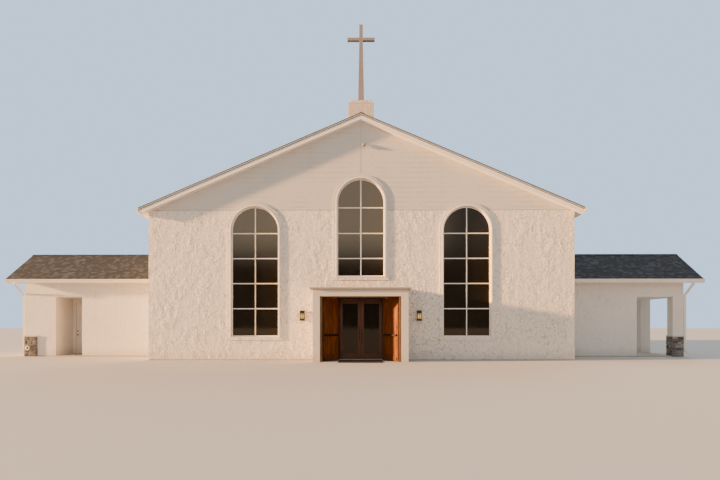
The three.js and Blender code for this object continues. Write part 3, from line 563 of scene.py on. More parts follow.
class Finishes:
    """The building's finishes, named as its parts are."""

    WALL = RenderFinish("wall_render", (0.82, 0.775, 0.72), 0.88)
    FRONT_WALL = RenderFinish("front_wall_render", (0.82, 0.775, 0.72), 0.88, smooth_above=6.08)
    WING_WALL = RenderFinish("wing_wall_render", (0.80, 0.77, 0.735), 0.88, depth=0.012, pit_shade=0.10)
    # The portal's render is darker than the walls': painted shade over the whole portal, and more on its
    # cornice.
    PORTAL_SHADED = RenderFinish(
        "portal_render_shaded", (0.535, 0.52, 0.50), 0.8, scale=3.0, depth=0.002, pit_shade=0.0, cap_shade_above=2.792
    )
    PEDESTAL = RenderFinish(
        "pedestal_render", (0.63, 0.565, 0.51), 0.88, scale=9.0, depth=0.012, soiling=0.5
    )
    BAND = RenderFinish("surround_render", (0.84, 0.80, 0.75), 0.8, scale=9.0, depth=0.004, pit_shade=0.05)
    JOINT = PaintFinish("joint_sealant", (0.36, 0.33, 0.30), 0.7)
    TRIM = PaintFinish("white_trim_paint", (0.86, 0.83, 0.78), 0.5)
    GUTTER = PaintFinish("gutter_baked_paint", (0.86, 0.83, 0.78), 0.38, soiling=0.3)
    WINDOW = PaintFinish("window_frame_paint", (0.90, 0.87, 0.82), 0.42, soiling=0.10)
    # Dark grey in place of the cross's white paint: painted shade over the cross and its base plate.
    CROSS_SHADED = PaintFinish("cross_paint", (0.24, 0.222, 0.226), 0.5, soiling=0.12)
    # Bluish grey on the crown band of the rakes: painted shade.
    CROWN_SHADE = PaintFinish("crown_painted_shade", (0.36, 0.375, 0.405), 0.5, soiling=0.1)
    SIDE_DOOR = PaintFinish("side_door_paint", (0.80, 0.77, 0.73), 0.42, soiling=0.15)
    FIXTURE = PaintFinish("grey_fixture_paint", (0.30, 0.29, 0.28), 0.45, soiling=0.2)
    SHINGLE = ShingleFinish("roof_shingle", (0.018, 0.024, 0.035), 0.92)
    DRIP = MetalFinish("drip_edge_metal", (0.030, 0.028, 0.026), 0.55, 0.3, worn=(0.05, 0.047, 0.044))
    GLASS = GlassFinish("tinted_window_glass", (0.012, 0.009, 0.006), 0.02)
    DOOR_GLASS = GlassFinish(
        "tinted_door_glass", (0.006, 0.004, 0.003), 0.03, transmission=0.08, index=1.42
    )
    STAINED = TimberFinish("stained_door_boards", (0.215, 0.068, 0.008), 0.56, dark=(0.075, 0.016, 0.002))
    CASING = TimberFinish("door_casing_boards", (0.150, 0.098, 0.066), 0.66, dark=(0.095, 0.056, 0.036))
    BRONZE = MetalFinish("dark_bronze_metal", (0.064, 0.016, 0.004), 0.42, 0.35, worn=(0.085, 0.03, 0.010))
    FRAME = MetalFinish("frame_bronze_metal", (0.024, 0.009, 0.004), 0.45, 0.35, worn=(0.05, 0.03, 0.02))
    BLACK = MetalFinish("black_hardware", (0.012, 0.011, 0.010), 0.42, 0.5, worn=(0.05, 0.045, 0.04))
    STONE = StoneFinish("stone_veneer", (0.085, 0.085, 0.090), 0.90)
    MORTAR = ConcreteFinish("veneer_mortar", (0.19, 0.17, 0.15), 0.92, cast_above=0.899)
    CONCRETE = ConcreteFinish("slab_concrete", (0.46, 0.43, 0.39), 0.88)
    RUBBER = RubberFinish("mat_rubber", (0.014, 0.013, 0.012), 0.75)
    LAMP = LampFinish("lantern_glass", (0.05, 0.028, 0.010), 0.4)


# Meshes as arrays


BOX_FACES = np.array(
    [[0, 3, 2, 1], [4, 5, 6, 7], [0, 1, 5, 4], [1, 2, 6, 5], [2, 3, 7, 6], [3, 0, 4, 7]]
)


def soften(piece: bpy.types.Object, width: float, degrees: float) -> None:
    """Adds a live bevel along the edges that turn by more than an angle."""
    edge = piece.modifiers.new("soft_edges", "BEVEL")
    edge.width = width
    edge.segments = 2
    edge.limit_method = "ANGLE"
    edge.angle_limit = math.radians(degrees)


class Stock:
    """Collects the points and faces of one piece as arrays and makes a mesh of them."""

    def __init__(self) -> None:
        """Starts empty."""
        self.points: list[np.ndarray] = []
        self.faces: list[list[int]] = []
        self.tones: list[np.ndarray] = []
        self.count = 0

    def add(self, points: np.ndarray, faces: np.ndarray, tone: object = 0.5) -> int:
        """Adds points with faces that index into them.

        Args:
            points: Array of points, in rows or grids.
            faces: Rows of point numbers.
            tone: One value for all points, or an array with a value for each.

        Returns:
            The number of the first point.
        """
        points = np.asarray(points, float).reshape(-1, 3)
        start = self.count
        self.faces.extend((faces + start).tolist())
        self.points.append(points)
        self.tones.append(np.broadcast_to(np.asarray(tone, float), (len(points),)))
        self.count += len(points)
        return start

    def add_corners(self, corners: np.ndarray, tone: object = 0.5) -> None:
        """Adds many six-sided solids from their corners.

        Args:
            corners: Array of shape (n, 8, 3): four corners round the base, then four above them.
            tone: One value, or one for each solid.
        """
        count = len(corners)
        faces = (BOX_FACES[None] + 8 * np.arange(count)[:, None, None]).reshape(-1, 4)
        self.add(corners, faces, np.repeat(np.broadcast_to(np.asarray(tone, float), (count,)), 8))

    def add_boxes(self, low: object, high: object, tone: object = 0.5) -> None:
        """Adds upright boxes from one or many low and high corners."""
        ends = np.stack([np.atleast_2d(low), np.atleast_2d(high)], 1).astype(float)
        x, y = ends[:, [0, 1, 1, 0, 0, 1, 1, 0], 0], ends[:, [0, 0, 1, 1, 0, 0, 1, 1], 1]
        self.add_corners(np.stack([x, y, ends[:, [0, 0, 0, 0, 1, 1, 1, 1], 2]], 2), tone)

    def box(self, x: Pair, y: Pair, z: Pair, tone: float = 0.5) -> None:
        """Adds one upright box from its ranges."""
        self.add_boxes(*zip(x, y, z), tone)

    def add_grid(
        self, grid: np.ndarray, wrap_u: bool = False, wrap_v: bool = False, tone: object = 0.5
    ) -> int:
        """Adds a surface from a grid of points.

        Args:
            grid: Array of shape (u, v, 3).
            wrap_u: Joins the last row of points to the first.
            wrap_v: Joins the last column of points to the first.
            tone: One value, or an array of u * v values.

        Returns:
            The number of the first point.
        """
        rows, columns = grid.shape[:2]
        u = np.arange(rows if wrap_u else rows - 1)[:, None] * columns
        v = np.arange(columns if wrap_v else columns - 1)[None, :]
        next_u, next_v = (u + columns) % (rows * columns), (v + 1) % columns
        faces = np.stack([u + v, u + next_v, next_u + next_v, next_u + v], 2)
        return self.add(grid, faces.reshape(-1, 4), tone)

    def add_tube(self, rings: np.ndarray, tone: object = 0.5) -> None:
        """Adds a tube closed at both ends, from an array of shape (rings, points round each, 3)."""
        count, around = rings.shape[:2]
        start = self.add_grid(rings, wrap_v=True, tone=tone)
        last = start + (count - 1) * around
        self.faces.append(list(range(start, start + around))[::-1])
        self.faces.append(list(range(last, last + around)))

    def add_prism(self, outline: object, axis: int, start: float, end: float) -> None:
        """Adds an outline carried straight along one axis.

        Args:
            outline: Corners (a, b) in the plane of the other two axes, in X, Y, Z order.
            axis: 0, 1 or 2 for X, Y or Z.
            start: Where the prism starts on the axis.
            end: Where it ends.
        """
        flat = np.asarray(outline, float)
        ends = np.repeat([start, end], len(flat))
        self.add_tube(np.insert(np.tile(flat, (2, 1)), axis, ends, 1).reshape(2, -1, 3))

    def add_channel(self, half: list[Pair], back: float, height: float, start: float, end: float) -> None:
        """Adds a level bar along X whose section is mirrored about its middle.

        Args:
            half: Lower half of the section as (out, up) from the back's middle.
            back: Y of its back.
            height: Z of its middle.
            start: Where it starts in X.
            end: Where it ends.
        """
        section = half + [(out, -up) for out, up in reversed(half)]
        self.add_prism([(back + out, height + up) for out, up in section], 0, start, end)

    def add_panel(self, plane: WallPlane, low: Pair, high: Pair, profile: Sequence[Pair]) -> None:
        """Adds a rectangle of a wall that is inset in steps.

        Args:
            plane: The wall's face.
            low: Low corner as (across, up).
            high: High corner.
            profile: Inset and depth behind the face at each step.
        """
        (a0, b0), (a1, b1) = low, high
        rings = []
        for inset, depth in profile:
            left, right, foot, head = a0 + inset, a1 - inset, b0 + inset, b1 - inset
            rings.append(plane.place([left, right, right, left], depth, [foot, foot, head, head]))
        self.add_tube(np.stack(rings))

    def add_bar(self, start: Sequence, end: Sequence, radii: Sequence[float], sides: int = 20) -> None:
        """Adds a turned bar whose radius changes at equal steps along it.

        Args:
            start: Middle of its first end.
            end: Middle of its last end.
            radii: Radius at each step.
            sides: Number of points round it.
        """
        start, end = np.asarray(start, float), np.asarray(end, float)
        way = (end - start) / np.linalg.norm(end - start)
        first = np.cross(way, (0.0, 0.0, 1.0) if abs(way[2]) < 0.9 else (1.0, 0.0, 0.0))
        first /= np.linalg.norm(first)
        angle = np.linspace(0.0, 2 * math.pi, sides, endpoint=False)[:, None]
        circle = np.cos(angle) * first + np.sin(angle) * np.cross(way, first)
        middles = start + np.linspace(0.0, 1.0, len(radii))[:, None] * (end - start)
        self.add_tube(middles[:, None] + np.asarray(radii, float)[:, None, None] * circle)

    def build(
        self,
        name: str,
        finish: Finish,
        slot: str,
        body: str = BUILDING,
        bevel: float = 0.0,
        smooth: bool = False,
        outward: bool = True,
        node: str = "",
    ) -> None:
        """Makes the mesh object, dresses it and lets it ride on a body.

        Args:
            name: The piece's name.
            finish: Its finish.
            slot: The record's material slot; not used.
            body: The body that carries it.
            bevel: Width of a live bevel, or 0.
            smooth: Shades the faces smooth.
            outward: Turns every closed shell's faces outward.
            node: The node that it replaces, if any.
        """
        mesh = bpy.data.meshes.new(name)
        mesh.from_pydata(np.concatenate(self.points).tolist(), [], self.faces)
        tone = mesh.attributes.new("tone", "FLOAT", "POINT")
        tone.data.foreach_set("value", np.concatenate(self.tones).astype(np.float32))
        if outward:
            work = bmesh.new()
            work.from_mesh(mesh)
            bmesh.ops.recalc_face_normals(work, faces=work.faces[:])
            work.to_mesh(mesh)
            work.free()
        if smooth:
            mesh.polygons.foreach_set("use_smooth", np.ones(len(mesh.polygons), bool))
        mesh.materials.append(finish.material())
        piece = bpy.data.objects.new(name, mesh)
        bpy.context.scene.collection.objects.link(piece)
        if bevel:
            soften(piece, bevel, 40)
        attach(piece, body)
        if node:
            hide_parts(node)
        LOG.info("%s: %d faces on %s", name, len(mesh.polygons), body)


def dress_node(node: str, finish: Finish, bevel: float = 0.0) -> None:
    """Gives a node of the frame its finish and softened edges of a width, if it isn't 0."""
    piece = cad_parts[node]
    piece.data.materials.clear()
    piece.data.materials.append(finish.material())
    if bevel:
        piece.modifiers.new("joined_corners", "WELD").merge_threshold = 0.00002
        soften(piece, bevel, 35)
    LOG.info("%s: dressed in %s", node, finish.name)


def corners_of(node: str) -> tuple[np.ndarray, np.ndarray]:
    """Returns a node's lowest and highest corners as arrays."""
    low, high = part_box(node)
    return np.array(low), np.array(high)


# Faces of walls


class Facing(Enum):
    """The way a wall's outer face looks: its normal's axis and the sign of the way inwards."""

    FRONT = (1, 1.0)
    REAR = (1, -1.0)
    LEFT = (0, 1.0)
    RIGHT = (0, -1.0)


@dataclass(frozen=True)
class WallPlane:
    """The outer face of a wall, with places given as across, inward and up."""

    facing: Facing
    distance: float

    def place(self, across: object, inward: object, up: object) -> np.ndarray:
        """Turns places on the wall into points.

        Args:
            across: Distance along the wall, in +X or +Y.
            inward: Depth behind the outer face.
            up: Height.

        Returns:
            Array of points, one for each place.
        """
        axis, sign = self.facing.value
        across, inward, up = np.broadcast_arrays(across, inward, up)
        level = [across, across]
        level[axis] = self.distance + sign * inward
        return np.stack([*level, up], -1).astype(float)


# Roof shingles


@dataclass
class Slope:
    """One plane of a roof: its low corner, unit ways up and along, and its lengths."""

    corner: np.ndarray
    up: np.ndarray
    along: np.ndarray
    rise: float
    run: float

    @classmethod
    def between(cls, low_a: Sequence, low_b: Sequence, high_a: Sequence) -> Slope:
        """Makes a slope from its two low corners and the top corner above the first."""
        corner, other, top = (np.asarray(point, float) for point in (low_a, low_b, high_a))
        run, rise = np.linalg.norm(other - corner), np.linalg.norm(top - corner)
        return cls(corner, (top - corner) / rise, (other - corner) / run, rise, run)

    def place(self, along: object, up: object, out: object) -> np.ndarray:
        """Points at distances along the eave, up the slope and out of it."""
        along, up, out = (part[..., None] for part in np.broadcast_arrays(along, up, out))
        return self.corner + along * self.along + up * self.up + out * np.cross(self.along, self.up)

    def lay(self, stock: Stock, along: tuple, up: Pair, base: float, tops: tuple, tone: np.ndarray) -> None:
        """Adds a row of thin solids that lie on the slope.

        Args:
            stock: Collects them.
            along: Arrays of where they start and end along the eave.
            up: Where they start and end up the slope.
            base: Level of their undersides over the slope.
            tops: Levels of their upper corners, from the low start round to the high start.
            tone: One value for each.
        """
        (start, end), (low, high) = along, up
        corners = ((start, low), (end, low), (end, high), (start, high))
        levels = (base, base, base, base, *tops)
        places = [self.place(*corner, level) for corner, level in zip(corners * 2, levels)]
        stock.add_corners(np.stack(places, 1), tone)


@dataclass
class Shingles:
    """Laminated shingles laid in courses on one slope, each a wedge that is thick at its lower edge."""

    exposure: float = 0.143
    lap: float = 0.03
    butt: float = 0.008
    lamination: float = 0.004
    thin: float = 0.0012
    sunk: float = 0.0005
    narrow: float = 0.09
    wide: float = 0.21
    gap: float = 0.0015
    end_tab: float = 0.06
    overhang: float = 0.012

    def lay(self, stock: Stock, slope: Slope, chance: np.random.Generator) -> None:
        """Adds every tab of a slope.

        Args:
            stock: Collects the tabs.
            slope: The plane they lie on.
            chance: Source of the tabs' widths and tones.
        """
        for course in range(math.ceil((slope.rise + self.overhang) / self.exposure)):
            low = -self.overhang + course * self.exposure
            high = min(low + self.exposure + self.lap, slope.rise)
            widths = chance.uniform(self.narrow, self.wide, int(slope.run / self.narrow) + 2)
            cuts = np.cumsum(widths) - chance.uniform(0.0, self.wide)
            inner = cuts[(cuts > self.end_tab) & (cuts < slope.run - self.end_tab)]
            edges = np.concatenate([[0.0], inner, [slope.run]])
            along = (edges[:-1] + self.gap, edges[1:] - self.gap)
            thick = self.butt + self.lamination * chance.integers(0, 2, len(edges) - 1)
            tops = (thick, thick, self.thin, self.thin)
            tones = chance.uniform(0.0, 1.0, len(edges) - 1)
            slope.lay(stock, along, (low, high), -self.sunk, tops, tones)


@dataclass
class RidgeCaps:
    """Cap shingles folded over a ridge, each lapping the one before it."""

    exposure: float = 0.14
    lap: float = 0.03
    reach: float = 0.15
    over: float = 0.004
    lift: float = 0.013
    thin: float = 0.006
    butt: float = 0.012
    shortest: float = 0.02

    def lay(self, stock: Stock, slopes: Sequence[Slope], chance: np.random.Generator) -> None:
        """Adds both halves of every cap along the top edges of two slopes."""
        lift, thick = self.lift, self.lift + self.butt
        for slope in slopes:
            starts = np.arange(0.0, slope.run - self.shortest, self.exposure)
            ends = np.minimum(starts + self.exposure + self.lap, slope.run)
            up = (slope.rise - self.reach, slope.rise + self.over)
            tones = chance.uniform(0.2, 0.9, len(starts))
            slope.lay(stock, (starts, ends), up, lift - self.thin, (thick, lift, lift, thick), tones)


@dataclass
class Gutter:
    """An ogee gutter with its hood, in the space of a plain bar along a wall."""

    node: str
    axis: int
    sign: float
    joint: float = 1000.0
    sleeve_half: float = 0.04
    sleeve_thick: float = 0.002

    def build(self, name: str) -> None:
        """Replaces the bar by the gutter, with a sleeve at every joint."""
        low, high = corners_of(self.node)
        start, end = low[self.axis], high[self.axis]
        stock = Stock()
        stock.add_prism(self.section(low, high, 0.0), self.axis, start, end)
        for middle in np.arange(start + self.joint, end, self.joint):
            sleeve = self.section(low, high, -self.sleeve_thick)
            stock.add_prism(sleeve, self.axis, middle - self.sleeve_half, middle + self.sleeve_half)
        stock.build(name, Finishes.GUTTER, "gutter", node=self.node)

    def section(self, low: np.ndarray, high: np.ndarray, shrink: float) -> np.ndarray:
        """Section of the gutter with an ogee face and a rolled lip.

        The face is a line from the bottom's front corner, then a cosine wave out to the lip.

        Args:
            low: The bar's low corner.
            high: Its high corner.
            shrink: Moves the outline in, or out where negative.

        Returns:
            Corners of the section in the gutter's place.
        """
        across = 1 - self.axis
        depth, height = high[across] - low[across], high[2] - low[2]
        wave = np.linspace(0.0, 1.0, 9)
        face_x = depth * (0.62 + 0.30 * (1 - np.cos(math.pi * wave)) / 2)
        face_z = -height + height * 0.12 + wave * height * 0.66
        lip = [(depth, -height * 0.20), (depth, -0.006), (depth * 0.96, 0.0)]
        bottom = [(0.0, -height), (depth * 0.60, -height)]
        outline = np.array([*bottom, *zip(face_x, face_z), *lip, (0.0, 0.0)])
        away = outline - outline.mean(0)
        away /= np.linalg.norm(away, axis=1, keepdims=True)
        wall = low[across] if self.sign > 0 else high[across]
        return (outline - away * shrink) * (self.sign, 1.0) + (wall, high[2])


@dataclass
class NaveRoof:
    """The two long slopes, their shingles, edge boards and gutters."""

    soffit_drop: float = 0.245
    drip_top: float = 0.004
    drip_height: float = 0.034
    drip_front: float = 0.004
    drip_back: float = 0.012
    crown_foot: float = 0.075
    crown_proud: float = 0.020
    # Height of the dark strip under the crown band: a painted shadow line.
    crown_shadow_height: float = 0.026
    gutter_joint: float = 3.0

    def slopes(self) -> list[Slope]:
        """Works out both slopes from the roof nodes' boxes."""
        low, high = corners_of("main_roof_left")
        far = corners_of("main_roof_right")[1][0]
        front, rear = corners_of("front_bargeboard")[0][1], corners_of("rear_bargeboard")[1][1]
        eave, ridge = low[2] + self.soffit_drop, high[2]
        left = Slope.between((low[0], rear, eave), (low[0], front, eave), (0.0, rear, ridge))
        right = Slope.between((far, front, eave), (far, rear, eave), (0.0, front, ridge))
        return [left, right]

    def build(self) -> None:
        """Dresses the roof nodes and adds what lies on and under them."""
        slopes, chance = self.slopes(), np.random.default_rng(SEED)
        for end in ("front", "rear"):
            dress_node(f"{end}_bargeboard", Finishes.TRIM, 0.004)
        for side, sign in (("left", -1.0), ("right", 1.0)):
            dress_node(f"main_roof_{side}", Finishes.TRIM)
            Gutter(f"main_gutter_{side}", 1, sign, self.gutter_joint).build(f"nave_gutter_{side}")
        for side, slope in zip(("left", "right"), slopes):
            stock = Stock()
            Shingles().lay(stock, slope, chance)
            stock.build(f"nave_shingles_{side}", Finishes.SHINGLE, "shingle", outward=False)
        caps = Stock()
        RidgeCaps().lay(caps, slopes, chance)
        caps.build("nave_ridge_caps", Finishes.SHINGLE, "shingle", outward=False)
        self.rake_lines()

    def rake_lines(self) -> None:
        """Adds dark folded metal under the shingles' ends, a dark strip below the crown band that is
        painted shadow, and a grey cover on the crown band that is painted shade.
        """
        face, top, foot = corners_of("front_bargeboard")[0][1], self.drip_top, -self.crown_foot
        board = face + self.crown_proud
        drip = (top, top - self.drip_height, face - self.drip_front, face + self.drip_back)
        self.rake_band("front_drip_edge", Finishes.DRIP, "gutter", *drip)
        # Painted shadow: a dark strip under the crown band, and painted shade: a grey cover over the band.
        gap = (foot, foot - self.crown_shadow_height, board - 0.002, board + 0.001)
        self.rake_band("front_crown_shadow_strip", Finishes.DRIP, "trim", *gap)
        cover = (-0.002, foot, face - 0.0015, face + 0.004)
        self.rake_band("front_crown_shade_cover", Finishes.CROWN_SHADE, "trim", *cover)

    def rake_band(
        self, name: str, finish: Finish, slot: str, top: float, foot: float, front: float, back: float
    ) -> None:
        """Adds a band along both front slopes.

        Args:
            name: The piece's name.
            finish: Its finish.
            slot: Its material slot.
            top: Its upper edge over the roof's surface.
            foot: Its lower edge.
            front: Y of its front.
            back: Y of its back.
        """
        reach = corners_of("front_bargeboard")[1][0]
        ridge = corners_of("main_roof_left")[1][2]
        fall = self.pitch() * reach
        stock = Stock()
        for end in (-reach, reach):
            upper = [(0.0, ridge + top), (end, ridge - fall + top)]
            stock.add_prism([*upper, (end, ridge - fall + foot), (0.0, ridge + foot)], 1, front, back)
        stock.build(name, finish, slot)

    def pitch(self) -> float:
        """Rise of the roof for each metre towards the ridge."""
        low, high = corners_of("main_roof_right")
        return (high[2] - low[2] - self.soffit_drop) / (high[0] - low[0])


# Arched windows


@dataclass(frozen=True)
class ArchShape:
    """An arched opening: its middle, half width, sill and springing heights."""

    center: float
    half: float
    sill: float
    spring: float
    steps: int = 40

    @classmethod
    def of(cls, node: str) -> ArchShape:
        """Works out an arch from the box of the frame node that fills it."""
        low, high = corners_of(node)
        half = (high[0] - low[0]) / 2
        return cls((low[0] + high[0]) / 2, half, low[2], high[2] - half)

    def outline(self, margin: float) -> np.ndarray:
        """Outline grown by a margin: sill corners, then a half circle over the top.

        Args:
            margin: How far the outline lies outside the opening, or inside where negative.

        Returns:
            Points (across, up) round the opening.
        """
        radius = self.half + margin
        angle = np.linspace(0.0, math.pi, self.steps)
        arc = np.stack([self.center + radius * np.cos(angle), self.spring + radius * np.sin(angle)], 1)
        foot = self.sill - margin
        return np.concatenate([[[self.center - radius, foot], [self.center + radius, foot]], arc])


@dataclass
class ArchedWindow:
    """Bars, beads and surround band of an arched window, with a frame and pane where no node has them."""

    name: str
    plane: WallPlane
    arch: ArchShape
    rows: Sequence[float]
    glass: Stock | None = None
    frame_width: float = 0.042
    frame_front: float = 0.10
    frame_back: float = 0.16
    frame_chamfer: float = 0.008
    pane_front: float = 0.124
    pane_back: float = 0.136
    bar_width: float = 0.040
    bar_proud: float = 0.030
    bar_chamfer: float = 0.006
    bar_lap: float = 0.004
    surround_proud: float = 0.040
    band_width: float = 0.046
    band_proud: float = 0.016
    band_chamfer: float = 0.004
    fit: float = 0.0005

    def ring(self, stock: Stock, profile: Sequence[Pair]) -> None:
        """Adds a closed profile of (margin, inward) carried round the arch."""
        rings = []
        for margin, inward in profile:
            flat = self.arch.outline(margin)
            rings.append(self.plane.place(flat[:, 0], inward, flat[:, 1]))
        stock.add_grid(np.stack(rings), wrap_u=True, wrap_v=True)

    def bars(self, stock: Stock) -> None:
        """Adds the upright bar and one level bar for each row, on both faces of the pane."""
        arch, half, edge = self.arch, self.bar_width / 2, self.frame_width - self.bar_lap
        top = arch.spring + arch.half - edge
        bars = [((arch.center - half, arch.sill + edge), (arch.center + half, top))]
        left, right = arch.center - arch.half + edge, arch.center + arch.half - edge
        bars += [((left, row - half), (right, row + half)) for row in self.rows]
        for pane, way in ((self.pane_front, -1.0), (self.pane_back, 1.0)):
            front, chamfer = pane + way * self.bar_proud, self.bar_chamfer
            profile = ((0.0, pane + way * self.fit), (0.0, front - way * chamfer), (chamfer, front))
            for low, high in bars:
                stock.add_panel(self.plane, low, high, profile)

    def build(self) -> None:
        """Makes the bars and beads as one piece, and the prouder band on the surround as another."""
        stock = Stock()
        self.bars(stock)
        inner, pane, fit = -self.frame_width, self.pane_front, self.fit
        outer = [(inner + fit, pane - fit), (inner + fit, pane - 0.012)]
        self.ring(stock, [*outer, (inner - 0.003, pane - 0.011), (inner - 0.006, pane - fit)])
        if self.glass:
            front, back, chamfer = self.frame_front, self.frame_back, self.frame_chamfer
            outer = [(-fit, back), (-fit, front), (inner + chamfer, front)]
            self.ring(stock, [*outer, (inner, front + chamfer), (inner, back)])
            flat = self.arch.outline(inner - fit)
            depths = (self.pane_front, self.pane_back)
            rings = [self.plane.place(flat[:, 0], depth, flat[:, 1]) for depth in depths]
            self.glass.add_tube(np.stack(rings))
        stock.build(self.name, Finishes.WINDOW, "window_frame")
        band, width, chamfer = Stock(), self.band_width, self.band_chamfer
        back = -self.surround_proud + 0.002
        front = -self.surround_proud - self.band_proud
        outer = [(width - chamfer, front), (width, front + chamfer), (width, back)]
        self.ring(band, [(fit, back), (fit, front), *outer])
        band.build(f"{self.name}_band", Finishes.BAND, "stucco")


@dataclass
class Windows:
    """All arched windows of the nave."""

    front_face: float = -0.15
    side_x: float = 4.295
    surround_proud: float = 0.04
    side_rows: Sequence[float] = (5.147, 4.129, 3.111, 2.090)
    center_rows: Sequence[float] = (6.190, 5.147, 4.129)
    nave_places: Sequence[float] = (8.4, 12.2, 16.0, 19.8)
    nave_rows: Sequence[float] = (3.75, 2.82, 1.89)
    nave_half: float = 0.72
    nave_sill: float = 0.964
    nave_spring: float = 3.90

    def build(self) -> None:
        """Builds the front windows, and those of the long walls and the rear with their own frames."""
        front = WallPlane(Facing.FRONT, self.front_face)
        rows = {"left": self.side_rows, "center": self.center_rows, "right": self.side_rows}
        for suffix, levels in rows.items():
            node = f"front_window_{suffix}"
            dress_node(node, Finishes.WINDOW, 0.004)
            dress_node(f"front_glass_{suffix}", Finishes.GLASS)
            ArchedWindow(f"front_window_bars_{suffix}", front, ArchShape.of(node), levels).build()
        edge = corners_of("left_nave_wall")[0][0] + self.surround_proud
        for suffix, facing, x in (("left", Facing.LEFT, edge), ("right", Facing.RIGHT, -edge)):
            size = (self.nave_half, self.nave_sill, self.nave_spring)
            arches = {
                f"nave_window_{suffix}_{number + 1}": ArchShape(y, *size)
                for number, y in enumerate(self.nave_places)
            }
            panes, node = f"nave_panes_{suffix}", f"{suffix}_nave_glass"
            self.wall(WallPlane(facing, x), arches, self.nave_rows, panes, node)
        shape = ArchShape.of("front_window_right")
        arches = {
            f"rear_window_{suffix}": ArchShape(x, shape.half, shape.sill, shape.spring)
            for suffix, x in (("left", -self.side_x), ("right", self.side_x))
        }
        rear = WallPlane(Facing.REAR, corners_of("rear_wall")[1][1] - self.surround_proud)
        self.wall(rear, arches, self.side_rows, "rear_panes", "rear_glass")

    def wall(
        self, plane: WallPlane, arches: dict[str, ArchShape], rows: Sequence[float], panes: str, node: str
    ) -> None:
        """Adds the windows of one wall, with all their panes as one piece.

        Args:
            plane: The wall's outer face.
            arches: The windows' names and arches.
            rows: Heights of their level bars.
            panes: The panes' name.
            node: The sheet of glass that they replace.
        """
        glass = Stock()
        for name, arch in arches.items():
            ArchedWindow(name, plane, arch, rows, glass).build()
        glass.build(panes, Finishes.GLASS, "glass", node=node)


# Walls


@dataclass
class Walls:
    """Render on all walls, with the control joints of the front."""

    front_face: float = -0.15
    joint_height: float = 6.08
    joint_width: float = 0.022
    joint_proud: float = 0.003
    joint_end: float = 0.002
    peak_drop: float = 0.12
    surround: float = 0.14
    front: Sequence[str] = ("front_wall_left", "front_wall_right", "front_wall_center", "rear_wall")
    nave: Sequence[str] = ("left_nave_wall", "right_nave_wall")
    left_wing: Sequence[str] = ("left_wing_front_wall", "left_wing_outer_wall", "left_alcove")
    right_wing: Sequence[str] = ("right_wing_front_wall", "right_wing_back_wall", "right_wing_gable")
    porch: Sequence[str] = ("porch_lining", "porch_column_front", "porch_column_rear")

    def build(self) -> None:
        """Dresses the walls and the slab and adds the joints."""
        wings = (*self.left_wing, *self.right_wing, *self.porch)
        finishes = (Finishes.FRONT_WALL, Finishes.WALL, Finishes.WING_WALL, Finishes.CONCRETE)
        for nodes, finish in zip((self.front, self.nave, wings, ("floor_slab",)), finishes):
            for node in nodes:
                dress_node(node, finish)
        self.joints()

    def joints(self) -> None:
        """Adds the level joint between the windows' surrounds and the upright one over the middle."""
        stock = Stock()
        depth = (self.front_face - self.joint_proud, self.front_face + 0.001)
        end = corners_of("front_wall_right")[1][0] - self.joint_end
        middle, side = ArchShape.of("front_window_center"), ArchShape.of("front_window_right")
        z, half = self.joint_height, self.joint_width / 2
        chord = math.sqrt((side.half + self.surround) ** 2 - (z - side.spring) ** 2)
        inner = middle.half + self.surround
        for start, stop in ((inner, side.center - chord), (side.center + chord, end)):
            for sign in (-1.0, 1.0):
                stock.box(sorted((sign * start, sign * stop)), depth, (z - half, z + half))
        peak = corners_of("front_wall_center")[1][2] - self.peak_drop
        stock.box((-half / 2, half / 2), depth, (middle.spring + inner, peak))
        stock.build("render_joints", Finishes.JOINT, "stucco")


@dataclass
class GableFixture:
    """The small floodlight high on the gable: a round plate, an arm and a hooded head."""

    x: float = 0.10
    height: float = 8.73
    face: float = -0.15
    plate: Sequence[float] = (0.058, 0.058, 0.050, 0.016)
    arm: float = 0.012
    head: Sequence[float] = (0.030, 0.040, 0.046, 0.050, 0.066, 0.070, 0.070, 0.062)

    def build(self) -> None:
        """Adds the fixture as one piece."""
        stock = Stock()
        x, y, z = self.x, self.face, self.height
        stock.add_bar((x, y + 0.001, z + 0.03), (x, y - 0.022, z + 0.03), self.plate, 28)
        stock.add_bar((x, y - 0.015, z + 0.03), (x + 0.01, y - 0.075, z + 0.01), [self.arm] * 2, 12)
        stock.add_bar((x + 0.01, y - 0.060, z + 0.045), (x + 0.03, y - 0.130, z - 0.085), self.head, 28)
        stock.build("gable_floodlight", Finishes.FIXTURE, "trim", bevel=0.002)


# Portal and doors


